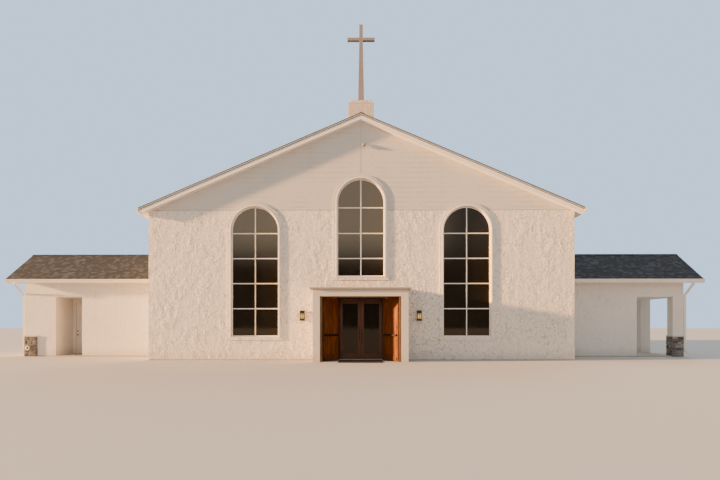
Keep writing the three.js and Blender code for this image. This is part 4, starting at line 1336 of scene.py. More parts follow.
@dataclass
class Portal:
    """The projecting surround with its cornice, the frame, the threshold and the mat."""

    casing_width: float = 0.085
    casing_head: float = 0.030
    casing_front: float = 0.012
    casing_back: float = 0.225
    casing_lap: float = 0.003
    saddle_half: float = 0.872
    saddle_top: float = 0.0425
    saddle_depth: Pair = (0.03, 0.15)
    ribs: tuple[float, float, int] = (0.036, 0.140, 9)
    mat_rim: float = 0.03
    mat_edge: float = 0.004
    mat_rib: float = 0.003
    mat_pitch: float = 0.030

    def build(self) -> None:
        """Dresses the surround and adds what lines and floors the doorway."""
        for node in ("portal_pier_left", "portal_pier_right", "portal_header"):
            dress_node(node, Finishes.PORTAL_SHADED, 0.006)
        dress_node("entry_frame", Finishes.FRAME, 0.0015)
        self.threshold()
        self.mat()
        self.casing()

    def casing(self) -> None:
        """Lines the opening's front edges with boards that stay clear of the swinging leaves."""
        low, high = corners_of("portal_pier_left")
        left, lap, board = high[0], self.casing_lap, self.casing_width
        right = corners_of("portal_pier_right")[0][0]
        head = corners_of("portal_header")[0][2]
        beam = head - self.casing_head
        depth = (low[1] + self.casing_front, low[1] + self.casing_back)
        stock = Stock()
        stock.box((left - lap, left + board), depth, (low[2], beam))
        stock.box((right - board, right + lap), depth, (low[2], beam))
        stock.box((left - lap, right + lap), depth, (beam, head + 0.002))
        stock.build("portal_casing", Finishes.CASING, "stained_wood", bevel=0.002)

    def threshold(self) -> None:
        """Adds the ribbed metal saddle under the glass doors."""
        stock = Stock()
        half, top = self.saddle_half, self.saddle_top
        stock.box((-half, half), self.saddle_depth, (top - 0.0025, top))
        low = np.column_stack(np.broadcast_arrays(-half, np.linspace(*self.ribs), top - 0.0005))
        stock.add_boxes(low, low + (2 * half, 0.005, 0.0016))
        stock.build("entry_threshold", Finishes.BRONZE, "bronze")

    def mat(self) -> None:
        """Replaces the plain mat by a ribbed one with a bevelled rim.

        The top is z = high - rib * (0.5 - 0.5 cos(2 pi y / pitch)), and falls to the edge's height
        over the rim.
        """
        low, high = corners_of("entry_mat")
        y = np.linspace(low[1] + self.mat_rim, high[1] - 0.002, 601)
        top = high[2] - self.mat_rib * (0.5 - 0.5 * np.cos(2 * math.pi * (y - y[0]) / self.mat_pitch))
        path_y = np.concatenate([[low[1], low[1]], y, [high[1], high[1]]])
        path_z = np.concatenate([[0.0, self.mat_edge], top, [self.mat_edge, 0.0]])
        stock = Stock()
        stock.add_prism(np.stack([path_y, path_z], 1), 0, low[0], high[0])
        stock.build("ribbed_entry_mat", Finishes.RUBBER, "rubber", node="entry_mat")


@dataclass
class Leaf:
    """A hinged leaf, drawn closed and then turned to where it stands at rest.

    Places on the leaf are (from the hinge line towards the free edge, towards the inside of the
    building when the leaf is closed, up).
    """

    side: float
    kind: str
    axis_x: float
    axis_y: float
    open_degrees: float

    def place(self, points: np.ndarray) -> np.ndarray:
        """Turns places on the closed leaf into points where the leaf stands at rest."""
        angle = math.radians(self.side * self.open_degrees)
        x, y, z = -self.side * points[:, 0], points[:, 1], points[:, 2]
        turned_x = x * math.cos(angle) - y * math.sin(angle)
        turned_y = x * math.sin(angle) + y * math.cos(angle)
        return np.stack([self.side * self.axis_x + turned_x, self.axis_y + turned_y, z], 1)

    @property
    def suffix(self) -> str:
        """The side's name."""
        return "right" if self.side > 0 else "left"

    def hang(
        self, stock: Stock, name: str, finish: Finish, slot: str, node: str = "", **looks: object
    ) -> None:
        """Turns what a stock collected with the leaf and makes a piece that rides on it.

        Args:
            stock: The collected parts.
            name: The piece's name without its side.
            finish: Its finish.
            slot: Its material slot.
            node: The node that it replaces, without its side, if any.
            **looks: The bevel or the smooth shading.
        """
        stock.points = [self.place(points) for points in stock.points]
        node, body = node and f"{node}_{self.suffix}", f"{self.kind}_leaf_{self.suffix}"
        stock.build(f"{name}_{self.suffix}", finish, slot, body, node=node, **looks)


@dataclass
class WoodDoor(Leaf):
    """A leaf of upright stained boards in a frame of stiles and rails."""

    kind: str = "wood"
    axis_x: float = 0.935
    axis_y: float = -0.235
    open_degrees: float = 127.0
    hinge_edge: float = 0.010
    free_edge: float = 0.930
    front: float = 0.013
    back: float = 0.063
    bottom: float = 0.020
    top: float = 2.500
    stile: float = 0.105
    top_rail: float = 0.150
    bottom_rail: float = 0.255
    boards: int = 6
    gap: float = 0.0015
    lap: float = 0.01
    sunk: float = 0.009
    spine: float = 0.006
    hinge_heights: Sequence[float] = (0.25, 1.25, 2.25)
    hinge_height: float = 0.060
    bar_height: float = 1.030
    bar_ends: Pair = (0.072, 0.880)
    rail_half: float = 0.033
    guide_heights: Pair = (0.83, 1.35)
    guide_inset: float = 0.058
    stop_heights: Pair = (0.045, 0.165)

    def build(self) -> None:
        """Builds the leaf, its hinges, push bar and small hardware."""
        stock = Stock()
        self.frame_boards(stock)
        self.field_boards(stock)
        self.hang(stock, "stained_leaf", Finishes.STAINED, "stained_wood", "wood_door", bevel=0.0025)
        self.hinges()
        self.push_bar()
        self.small_hardware()

    def frame_boards(self, stock: Stock) -> None:
        """Adds two stiles at the leaf's full thickness and two rails."""
        a, b, stile = self.hinge_edge, self.free_edge, self.stile
        for x, tone in (((a, a + stile), 0.30), ((b - stile, b), 0.42)):
            stock.box(x, (self.front, self.back), (self.bottom, self.top), tone)
        x, y = (a + stile + 0.0008, b - stile - 0.0008), (self.front + 0.001, self.back - 0.001)
        stock.box(x, y, (self.top - self.top_rail, self.top), 0.22)
        stock.box(x, y, (self.bottom, self.bottom + self.bottom_rail), 0.26)

    def field_boards(self, stock: Stock) -> None:
        """Adds the upright boards between the stiles, sunk below both faces, and a spine behind them."""
        chance = np.random.default_rng(SEED + int(self.side))
        left, right = self.hinge_edge + self.stile, self.free_edge - self.stile
        near, far = self.front + self.sunk, self.back - self.sunk
        foot, head = self.bottom + self.bottom_rail - self.lap, self.top - self.top_rail + self.lap
        edges = np.linspace(left, right, self.boards + 1)
        low = np.column_stack(np.broadcast_arrays(edges[:-1] + self.gap, near, foot))
        high = np.column_stack(np.broadcast_arrays(edges[1:] - self.gap, far, head))
        stock.add_boxes(low, high, chance.uniform(0.25, 0.95, self.boards))
        depth, height = (near + self.spine, far - self.spine), (self.bottom + 0.1, self.top - 0.1)
        stock.box((left, right), depth, height, 0.05)

    def hinges(self) -> None:
        """Adds the moving barrels and straps that stand on the fixed ones."""
        stock = Stock()
        for height in self.hinge_heights:
            low, high = height + 0.0005, height + self.hinge_height
            stock.add_bar((0.0, 0.0, low), (0.0, 0.0, high), [0.0075, 0.009, 0.009, 0.0075])
            stock.box((0.0, 0.040), (-0.006, self.front + 0.001), (low + 0.004, high - 0.004))
            stock.box((0.012, 0.075), (self.front - 0.004, self.front + 0.0005), (low - 0.03, high + 0.03))
        self.hang(stock, "wood_door_hinges", Finishes.BLACK, "black_metal", bevel=0.001)

    def push_bar(self) -> None:
        """Replaces the plain push bar by a channel with a pad and end cases."""
        stock = Stock()
        (start, end), half = self.bar_ends, self.rail_half
        channel = [(0.0, -half), (0.034, -half), (0.044, 0.008 - half)]
        pad = [(0.036, -0.022), (0.050, -0.022), (0.055, -0.016)]
        case = [(0.0, -0.034), (0.050, -0.034), (0.061, -0.024)]
        lengths = ((start, end), (start + 0.17, end - 0.11), (start, start + 0.075), (end - 0.095, end))
        for section, length in zip((channel, pad, case, case), lengths):
            stock.add_channel(section, self.back + 0.0005, self.bar_height, *length)
        self.hang(stock, "push_bar", Finishes.BLACK, "black_metal", "panic_bar", bevel=0.0015)

    def small_hardware(self) -> None:
        """Adds the two round rod guides by the free edge and the raised door stop at its foot."""
        stock = Stock()
        x, back = self.free_edge - self.guide_inset, self.back
        for z in self.guide_heights:
            stock.add_bar((x, back, z), (x, back + 0.018, z), [0.034, 0.034, 0.031, 0.012], 28)
        low, high = (self.bottom + height for height in self.stop_heights)
        stock.box((x - 0.02, x + 0.02), (back, back + 0.008), (low + 0.05, high))
        stock.box((x - 0.012, x + 0.012), (back + 0.004, back + 0.02), (low, high - 0.02))
        foot, head = (x, back + 0.018, low - 0.016), (x, back + 0.018, low + 0.03)
        stock.add_bar(foot, head, [0.018, 0.020, 0.016])
        self.hang(stock, "door_stop", Finishes.BLACK, "black_metal", bevel=0.001)


@dataclass
class GlassDoor(Leaf):
    """A glazed metal leaf: beads, sweep, lock, pull and the inside push bar."""

    kind: str = "glass"
    axis_x: float = 0.860
    axis_y: float = 0.125
    open_degrees: float = 0.0
    hinge_edge: float = -0.005
    free_edge: float = 0.855
    inner: float = -0.020
    outer: float = -0.065
    bottom: float = 0.050
    top: float = 2.487
    stile: float = 0.105
    top_rail: float = 0.180
    bottom_rail: float = 0.200
    bead_width: float = 0.016
    bead_sunk: float = 0.006
    pane_half: float = 0.0055
    pull_inset: float = 0.052
    post_inset: float = 0.060
    post: Sequence[float] = (0.0085, 0.0085, 0.0085, 0.0085, 0.010, 0.0115)
    dome: Sequence[float] = (0.35, 0.75, 0.95, 1.0)
    lock_height: float = 1.40
    rail_height: float = 1.03

    def build(self) -> None:
        """Dresses the leaf and adds its small parts."""
        dress_node(f"glass_door_{self.suffix}", Finishes.BRONZE, 0.0015)
        dress_node(f"door_glass_{self.suffix}", Finishes.DOOR_GLASS)
        self.pull()
        stock = Stock()
        self.beads(stock)
        self.lock(stock)
        x, y = (self.hinge_edge + 0.01, self.free_edge - 0.01), (self.outer - 0.004, self.outer + 0.0005)
        stock.box(x, y, (self.bottom + 0.002, self.bottom + 0.040))
        self.hang(stock, "glass_door_beads", Finishes.BRONZE, "bronze", bevel=0.001)

    def beads(self, stock: Stock) -> None:
        """Adds glazing beads round the pane on both faces."""
        a0, a1 = self.hinge_edge + self.stile, self.free_edge - self.stile
        z0, z1 = self.bottom + self.bottom_rail, self.top - self.top_rail
        middle, wide, fit = (self.inner + self.outer) / 2, self.bead_width, 0.0005
        weather = (self.outer + self.bead_sunk, middle - self.pane_half)
        for depth in (weather, (middle + self.pane_half, self.inner - self.bead_sunk)):
            stock.box((a0 + fit, a1 - fit), depth, (z0 + fit, z0 + wide))
            stock.box((a0 + fit, a1 - fit), depth, (z1 - wide, z1 - fit))
            stock.box((a0 + fit, a0 + wide), depth, (z0 + wide, z1 - wide))
            stock.box((a1 - wide, a1 - fit), depth, (z0 + wide, z1 - wide))

    def pull(self) -> None:
        """Replaces the plain pull by a round bar with domed ends on two turned posts with roses."""
        low, high = corners_of(f"door_pull_{self.suffix}")
        radius = (high[0] - low[0]) / 2
        x, middle = self.free_edge - self.pull_inset, self.outer - (high[1] - low[1]) + radius
        dome = [radius * part for part in self.dome]
        stock = Stock()
        bar = [*dome, *[radius] * 60, *dome[::-1]]
        stock.add_bar((x, middle, low[2]), (x, middle, high[2]), bar, 24)
        for z in (low[2] + self.post_inset, high[2] - self.post_inset):
            stock.add_bar((x, middle, z), (x, self.outer - 0.0003, z), self.post, 20)
        self.hang(stock, "round_pull", Finishes.BLACK, "black_metal", "door_pull", smooth=True)

    def lock(self, stock: Stock) -> None:
        """Adds the key cylinder above the pull and the inside push rail with its end cases."""
        x, z, rail = self.free_edge - self.pull_inset, self.lock_height, self.rail_height
        cylinder = [0.021, 0.021, 0.018, 0.006]
        stock.add_bar((x, self.outer + 0.001, z), (x, self.outer - 0.010, z), cylinder, 24)
        half = [(0.0, -0.018), (0.022, -0.018), (0.030, -0.010)]
        stock.add_channel(half, self.inner + 0.02, rail, 0.06, 0.80)
        for x in (0.06, 0.74):
            stock.box((x, x + 0.06), (self.inner - 0.0005, self.inner + 0.03), (1.0, 1.06))


# Lanterns


@dataclass
class Lantern:
    """A wall lantern with two metal caps, a lit glass box and slim corner bars."""

    side: str
    top_cap: float = 0.112
    bottom_cap: float = 0.072
    lid: float = 0.018
    rim: float = 0.006
    bar: float = 0.020
    back_inset: float = 0.03
    back_plate: float = 0.012
    glass_inset: float = 0.030
    bulb_height: float = 0.45
    glow_shape: Triple = (1.0, 0.6, 0.75)
    glow_reach: float = 0.072

    def build(self) -> None:
        """Builds the metalwork and the lit glass in the space of the plain lantern."""
        low, high = corners_of(f"sconce_{self.side}")
        foot, head = low[2] + self.bottom_cap, high[2] - self.top_cap
        self.case(low, high, foot, head)
        self.glass(low, high, foot, head)

    def case(self, low: np.ndarray, high: np.ndarray, foot: float, head: float) -> None:
        """Adds both caps with their rims, the back plate and the bars, from the cap's foot to its head."""
        metal, rim, bar, back = Stock(), self.rim, self.bar, self.back_inset
        for base, top, lid in ((low[2], foot, low[2]), (head, high[2], high[2] - self.lid)):
            metal.box((low[0] + rim, high[0] - rim), (low[1] + rim, high[1]), (base, top))
            metal.box((low[0], high[0]), (low[1], high[1]), (lid, lid + self.lid))
        plate = (high[1] - self.back_plate, high[1])
        metal.box((low[0] + back, high[0] - back), plate, (foot, head))
        near = self.glass_inset - bar
        places = (low[0] + near, high[0] - near - bar)
        for y in (low[1] + near, high[1] - back):
            for x in places:
                metal.add_boxes((x, y, foot), np.array([x, y, foot]) + (bar, bar, head - foot))
        x, y = (low[0] + high[0] - bar) / 2, low[1] + near
        metal.box((x, x + bar), (y, y + bar * 0.6), (foot, head))
        node = f"sconce_{self.side}"
        metal.build(f"lantern_case_{self.side}", Finishes.BLACK, "black_metal", bevel=0.0015, node=node)

    def glass(self, low: np.ndarray, high: np.ndarray, foot: float, head: float) -> None:
        """Adds the glass box, whose tone is exp(-(d / reach)^2) with d the distance from the bulb."""
        inset = self.glass_inset
        x0, x1, y0, y1 = low[0] + inset, high[0] - inset, low[1] + inset, high[1] - 0.013
        step = np.linspace(0.0, 1.0, 8, endpoint=False)
        x = np.concatenate([x0 + (x1 - x0) * step, 0 * step + x1, x1 + (x0 - x1) * step, 0 * step + x0])
        y = np.concatenate([0 * step + y0, y0 + (y1 - y0) * step, 0 * step + y1, y1 + (y0 - y1) * step])
        z = np.linspace(foot - 0.002, head + 0.002, 15)[:, None]
        rings = np.stack(np.broadcast_arrays(x, y, z), 2)
        bulb = ((x0 + x1) / 2, (y0 + y1) / 2, foot + (head - foot) * self.bulb_height)
        apart = np.linalg.norm((rings - bulb) * self.glow_shape, axis=2)
        stock = Stock()
        stock.add_tube(rings, np.exp(-((apart / self.glow_reach) ** 2)).ravel())
        stock.build(f"lantern_glass_{self.side}", Finishes.LAMP, "glass")


# Cross


@dataclass
class RidgeCross:
    """The pedestal and cross on the ridge, with flashing and base plate."""

    plate_half: float = 0.21
    plate_thick: float = 0.016
    nut_place: float = 0.17
    nut: float = 0.016
    bolt: float = 0.008
    joint: float = 10.818
    joint_height: float = 0.016
    joint_proud: float = 0.002
    flashing_rise: float = 0.10
    flashing_thick: float = 0.003
    apron_reach: float = 0.11
    apron_end: float = 0.05

    def build(self) -> None:
        """Dresses both nodes and adds the small metalwork."""
        dress_node("cross_pedestal", Finishes.PEDESTAL, 0.008)
        # The cross and its base plate take painted shade, a dark grey for their white paint.
        dress_node("cross", Finishes.CROSS_SHADED, 0.006)
        low, high = corners_of("cross_pedestal")
        self.base_plate((low[1] + high[1]) / 2, high[2])
        self.cap_joint(low - self.joint_proud, high + self.joint_proud)
        self.flashing(low, high)

    def base_plate(self, y: float, top: float) -> None:
        """Adds the plate under the cross with a nut and a bolt's end at each corner."""
        stock, half = Stock(), self.plate_half
        stock.box((-half, half), (y - half, y + half), (top, top + self.plate_thick))
        for x in (-self.nut_place, self.nut_place):
            for offset in (-self.nut_place, self.nut_place):
                place = (x, y + offset)
                stock.add_bar((*place, top + self.plate_thick), (*place, top + 0.034), [self.nut] * 2, 6)
                stock.add_bar((*place, top + 0.03), (*place, top + 0.050), [self.bolt] * 2, 10)
        stock.build("cross_base_plate", Finishes.CROSS_SHADED, "cross_paint", bevel=0.002)

    def cap_joint(self, low: np.ndarray, high: np.ndarray) -> None:
        """Adds the dark sealed joint round the pedestal, just below its narrower cap."""
        stock = Stock()
        height = (self.joint - self.joint_height, self.joint)
        stock.box((low[0], high[0]), (low[1], high[1]), height)
        stock.build("pedestal_joint", Finishes.JOINT, "stucco")

    def flashing(self, low: np.ndarray, high: np.ndarray) -> None:
        """Adds folded flashing where the pedestal meets the shingles on its four sides."""
        pitch, ridge, half = NaveRoof().pitch(), corners_of("main_roof_left")[1][2], high[0]
        rise, thick, reach = self.flashing_rise, self.flashing_thick, self.apron_reach
        top, foot, z = ridge + 0.010, ridge - pitch * half + 0.010, ridge - pitch * half + 0.008
        stock = Stock()
        for side in (-1.0, 1.0):
            near, end, far = side * half, side * (half + thick), side * (half + reach)
            for y0, y1 in ((low[1] - thick, low[1]), (high[1], high[1] + thick)):
                outline = [(0.0, top), (end, foot), (end, foot + rise), (0.0, top + rise)]
                stock.add_prism(outline, 1, y0, y1)
            stock.box(sorted((near, end)), (low[1], high[1]), (z - 0.02, z + rise))
            fall = z - pitch * reach
            apron = [(near, z + 0.006), (far, fall + 0.006), (far, fall + 0.002), (near, z + 0.001)]
            stock.add_prism(apron, 1, low[1] - self.apron_end, high[1] + self.apron_end)
        stock.build("pedestal_flashing", Finishes.GUTTER, "gutter")


# Wings


@dataclass
class Wing:
    """One low wing: roof, gutter and downspout."""

    side: str
    drop: float = 0.180
    rake: float = 0.64
    reach: float = 0.15
    wall_gap: float = 0.040
    pipe: Pair = (0.110, 0.100)
    outlet_y: float = 1.94
    run_y: float = 2.53
    kick: float = 0.15
    strap_heights: Pair = (2.35, 1.25)
    strap_width: float = 0.03
    strap_proud: float = 0.003

    def build(self) -> None:
        """Dresses the roof and adds its shingles, gutter and downspout."""
        roof = f"{self.side}_wing_roof"
        dress_node(roof, Finishes.TRIM)
        low, high = corners_of(roof)
        eave, ridge_y = low[2] + self.drop, (low[1] + high[1]) / 2
        stock, chance = Stock(), np.random.default_rng(SEED + 5)
        slopes = []
        for y, x0, x1 in ((low[1], low[0], high[0]), (high[1], high[0], low[0])):
            slopes.append(Slope.between((x0, y, eave), (x1, y, eave), (x0, ridge_y, high[2])))
            Shingles().lay(stock, slopes[-1], chance)
        RidgeCaps().lay(stock, slopes, chance)
        stock.build(f"{self.side}_wing_shingles", Finishes.SHINGLE, "shingle", outward=False)
        Gutter(f"{self.side}_wing_gutter", 0, -1.0).build(f"{self.side}_ogee_gutter")
        self.downspout(low if self.side == "left" else high)

    def downspout(self, end: np.ndarray) -> None:
        """Replaces the plain downspout by a fluted pipe with elbows and straps.

        Args:
            end: The corner of the roof at the wing's outer end.
        """
        node = f"{self.side}_wing_downspout"
        low, high = corners_of(node)
        sign = math.copysign(1.0, end[0])
        (width, depth), kick, y = self.pipe, self.kick, self.run_y
        wall = end[0] - sign * self.rake
        x, outlet = wall + sign * (width / 2 + self.wall_gap), wall + sign * self.reach
        top, foot = high[2], low[2]
        path = [(outlet, self.outlet_y, top), (outlet, self.outlet_y, top - 0.08), (x, y, top - 0.56)]
        path += [(x, y, foot + kick), (x + sign * kick, y - kick * 0.3, foot)]
        stock = Stock()
        stock.add_tube(self.pipe_rings(np.array(path)))
        proud = self.strap_proud
        for height in self.strap_heights:
            reach = sorted((wall + sign * 0.0005, x + sign * (width / 2 + proud)))
            across = (y - depth / 2 - proud, y + depth / 2 + proud)
            stock.box(reach, across, (height, height + self.strap_width))
        stock.build(f"{self.side}_fluted_downspout", Finishes.GUTTER, "gutter", node=node)

    def pipe_rings(self, path: np.ndarray) -> np.ndarray:
        """Level rings of the pipe's section along a path, with crimps next to each bend.

        The section is a rounded rectangle, half its size times |cos|^0.28 and |sin|^0.28 of the
        angle, whose faces dip by a cosine.

        Args:
            path: Corners of the path from the top down.

        Returns:
            Array of rings for a tube.
        """
        angle = np.linspace(0.0, 2 * math.pi, 40, endpoint=False)
        wave = np.stack([np.cos(angle), np.sin(angle)], 1)
        flute = 1.0 - 0.05 * (0.5 + 0.5 * np.cos(angle * 12))
        section = np.sign(wave) * np.abs(wave) ** 0.28 * (np.array(self.pipe) / 2) * flute[:, None]
        rings = []
        for start, end in zip(path[:-1], path[1:]):
            length = np.linalg.norm(end - start)
            near = min(0.06, length / 3)
            for place in (0.0, near / 3, near * 2 / 3, near, length - near, length - near / 2, length):
                crimp = 0.97 if 0.0 < place < near else 1.0
                middle = start + (end - start) * place / length
                rings.append(np.insert(middle[:2] + section * crimp, 2, middle[2], 1))
        return np.stack(rings)


# Stone veneer


@dataclass
class Veneer:
    """Split stones of mixed sizes in rough courses on faces, all collected by one stock."""

    stock: Stock
    chance: np.random.Generator
    courses: Pair = (0.11, 0.19)
    lengths: Pair = (0.12, 0.28)
    least: float = 0.02
    split_height: float = 0.12
    split_width: float = 0.24
    split_share: float = 0.55
    joint: float = 0.010
    proud: float = 0.013
    sunk: float = 0.004
    grid: int = 7

    def cuts(self, low: float, high: float, sizes: Pair) -> Iterable[Pair]:
        """Yields parts of random size from low to high, where a short last part joins the one before."""
        while low < high - self.least:
            size = self.chance.uniform(*sizes)
            end = high if high - low - size < sizes[0] * 0.8 else low + size
            yield low, end
            low = end

    def face(self, plane: WallPlane, across: Pair, up: Pair) -> None:
        """Covers a rectangle of a wall with stones, and cuts some tall narrow places into two.

        Args:
            plane: The face that carries them.
            across: Low and high ends along the wall.
            up: Low and high ends upwards.
        """
        for bottom, top in self.cuts(*up, self.courses):
            for left, right in self.cuts(*across, self.lengths):
                ends, tall = [bottom, top], top - bottom > self.split_height
                if tall and right - left < self.split_width and self.chance.uniform() < self.split_share:
                    ends.insert(1, bottom + (top - bottom) * self.chance.uniform(0.4, 0.6))
                for low, high in zip(ends, ends[1:]):
                    self.stone(plane, (left, right), (low, high))

    def stone(self, plane: WallPlane, across: Pair, up: Pair) -> None:
        """Adds one stone.

        Its face is a pillow: proud * (1 - |u|^6) * (1 - |v|^6) plus a tilt and smooth noise, with
        u and v from -1 to 1 across and up the stone.

        Args:
            plane: The face that carries it.
            across: Its ends along the wall, joints included.
            up: Its ends upwards.
        """
        n, chance, inset = self.grid, self.chance, self.joint / 2
        line = np.sin(np.linspace(-1.0, 1.0, n) * math.pi / 2)
        u, v = np.meshgrid(line, line, indexing="ij")
        wobble = 1.0 - 0.05 * chance.uniform(0.0, 1.0, (n, n))
        a = (across[0] + across[1]) / 2 + u * ((across[1] - across[0]) / 2 - inset) * wobble
        b = (up[0] + up[1]) / 2 + v * ((up[1] - up[0]) / 2 - inset) * wobble
        pillow = (1 - np.abs(u) ** 6) * (1 - np.abs(v) ** 6)
        tilt = 0.25 * (u * chance.uniform(-1, 1) + v * chance.uniform(-1, 1))
        rough = chance.uniform(-0.22, 0.22, (n, n))
        proud = self.proud * chance.uniform(0.75, 1.0) * pillow * (0.78 + tilt * 0.6 + rough * 0.6)
        proud = np.clip(proud, 0.0, self.proud)
        tone = chance.uniform(0.0, 1.0)
        self.stock.add_grid(plane.place(a, -proud - 0.0005, b), tone=tone)
        spot = np.arange(n * n).reshape(n, n)
        rim = np.concatenate([spot[0], spot[1:, -1], spot[-1, -2::-1], spot[-2:0:-1, 0]])
        place = np.arange(len(rim))
        front, back = rim - n * n, plane.place(a.ravel()[rim], self.sunk, b.ravel()[rim])
        skirt = np.stack([front, np.roll(front, -1), np.roll(place, -1), place], 1)
        start = self.stock.add(back, skirt, tone)
        self.stock.faces.append((place + start).tolist())


@dataclass
class StoneBases:
    """Stone veneer on the corner of the left wing and on the front porch column's base."""

    cap: float = 0.05
    lip: float = 0.015
    gap: float = 0.004
    vent_place: Pair = (-15.10, 0.385)
    vent_wide: Sequence[float] = (0.100, 0.102, 0.102, 0.096, 0.070, 0.056, 0.050, 0.050)
    vent_deep: Sequence[float] = (0.004, -0.004, -0.026, -0.034, -0.040, -0.036, -0.026, 0.004)
    throat_shade: Sequence[float] = (0.049, 0.049, 0.040, 0.010)

    def build(self) -> None:
        """Covers the bases' faces with stones and adds the vent."""
        chance = np.random.default_rng(SEED + 9)
        for node in ("left_stone_base", "porch_base_front"):
            dress_node(node, Finishes.MORTAR, 0.004)
            self.cover(node, chance)
        self.vent()

    def vent(self) -> None:
        """Adds the round white vent on the front of the left stones: a turned ring, and in its opening a
        black disc that is painted shade.
        """
        face = corners_of("left_stone_base")[0][1] + self.lip
        x, z = self.vent_place
        ring, throat_shade = Stock(), Stock()
        turn = np.linspace(0.0, 2 * math.pi, 40, endpoint=False)
        wide, deep = np.array(self.vent_wide)[:, None], np.array(self.vent_deep)[:, None]
        rings = np.broadcast_arrays(x + wide * np.cos(turn), face + deep, z + wide * np.sin(turn))
        ring.add_grid(np.stack(rings, 2), wrap_u=True, wrap_v=True)
        ring.build("stone_vent_ring", Finishes.TRIM, "trim", smooth=True)
        # Painted shade: a black rubber disc fills the vent's opening.
        throat_shade.add_bar((x, face + 0.004, z), (x, face - 0.022, z), self.throat_shade, 28)
        throat_shade.build("stone_vent_throat", Finishes.RUBBER, "rubber", smooth=True)

    def cover(self, node: str, chance: np.random.Generator) -> None:
        """Covers the faces of one base that can be seen."""
        low, high = corners_of(node)
        lip, corner = self.lip, node == "left_stone_base"
        x = (low[0], high[0] - lip) if corner else (low[0] + lip, high[0])
        y = (low[1] + lip, high[1] if corner else high[1] - lip)
        faces = [(Facing.FRONT, y[0], x), (Facing.RIGHT, x[1], y), (Facing.LEFT, x[0], y)]
        stock = Stock()
        veneer = Veneer(stock, chance)
        for facing, distance, across in faces if corner else [*faces, (Facing.REAR, y[1], x)]:
            up = (self.gap, high[2] - self.cap - self.gap)
            veneer.face(WallPlane(facing, distance), across, up)
        stock.build(f"{node}_stones", Finishes.STONE, "stone", smooth=True)


# Side door and porch


@dataclass
class SideDoor:
    """The painted door at the back of the alcove: raised panels and its metal parts."""

    body: str = "side_door_leaf"
    face: float = 3.990
    left: float = -13.695
    right: float = -12.835
    border: float = 0.12
    middle_half: float = 0.045
    panel_heights: Sequence[Pair] = ((0.30, 1.02), (1.30, 2.33))
    knob_x: float = -13.627
    knob_height: float = 0.96
    bolt_height: float = 1.13
    moulding: Sequence[Pair] = (
        (0.0, 0.0005), (0.0, -0.004), (0.012, -0.009), (0.028, -0.003), (0.05, -0.003), (0.075, -0.008)
    )
    knob: Sequence[float] = (0.033, 0.033, 0.030, 0.014, 0.013, 0.024, 0.0295, 0.031, 0.029, 0.018, 0.004)
    bolt: Sequence[float] = (0.034, 0.034, 0.033, 0.030, 0.027, 0.018, 0.006)

    def build(self) -> None:
        """Dresses the door and adds panels with sloped borders, a dark knob and a deadbolt."""
        dress_node("left_wing_door", Finishes.SIDE_DOOR, 0.002)
        panels, metal, face = Stock(), Stock(), self.face
        middle, plane = (self.left + self.right) / 2, WallPlane(Facing.FRONT, face)
        columns = ((self.left + self.border, middle - self.middle_half),)
        columns += ((middle + self.middle_half, self.right - self.border),)
        for bottom, top in self.panel_heights:
            for x0, x1 in columns:
                panels.add_panel(plane, (x0, bottom), (x1, top), self.moulding)
        panels.build("side_door_panels", Finishes.SIDE_DOOR, "painted_door", self.body)
        knobs = ((self.knob, self.knob_height, 0.060), (self.bolt, self.bolt_height, 0.024))
        for profile, z, out in knobs:
            metal.add_bar((self.knob_x, face + 0.001, z), (self.knob_x, face - out, z), profile, 32)
        metal.build("side_door_knob", Finishes.BLACK, "black_metal", self.body, smooth=True)


@dataclass
class PorchCeiling:
    """Narrow soffit boards under the porch's ceiling, with a shallow groove between them."""

    x: Pair = (12.3805, 14.2645)
    y: Pair = (2.6505, 5.6495)
    face: float = 2.6895
    thick: float = 0.010
    board: float = 0.15
    groove: float = 0.004

    def build(self) -> None:
        """Adds the boards as one piece."""
        starts = np.arange(*self.y, self.board)
        ends = np.minimum(starts + self.board - self.groove, self.y[1])
        low = np.column_stack(np.broadcast_arrays(self.x[0], starts, self.face - self.thick))
        high = np.column_stack(np.broadcast_arrays(self.x[1], ends, self.face))
        stock = Stock()
        stock.add_boxes(low, high)
        stock.build("porch_soffit_boards", Finishes.TRIM, "trim", bevel=0.002)


# Stage


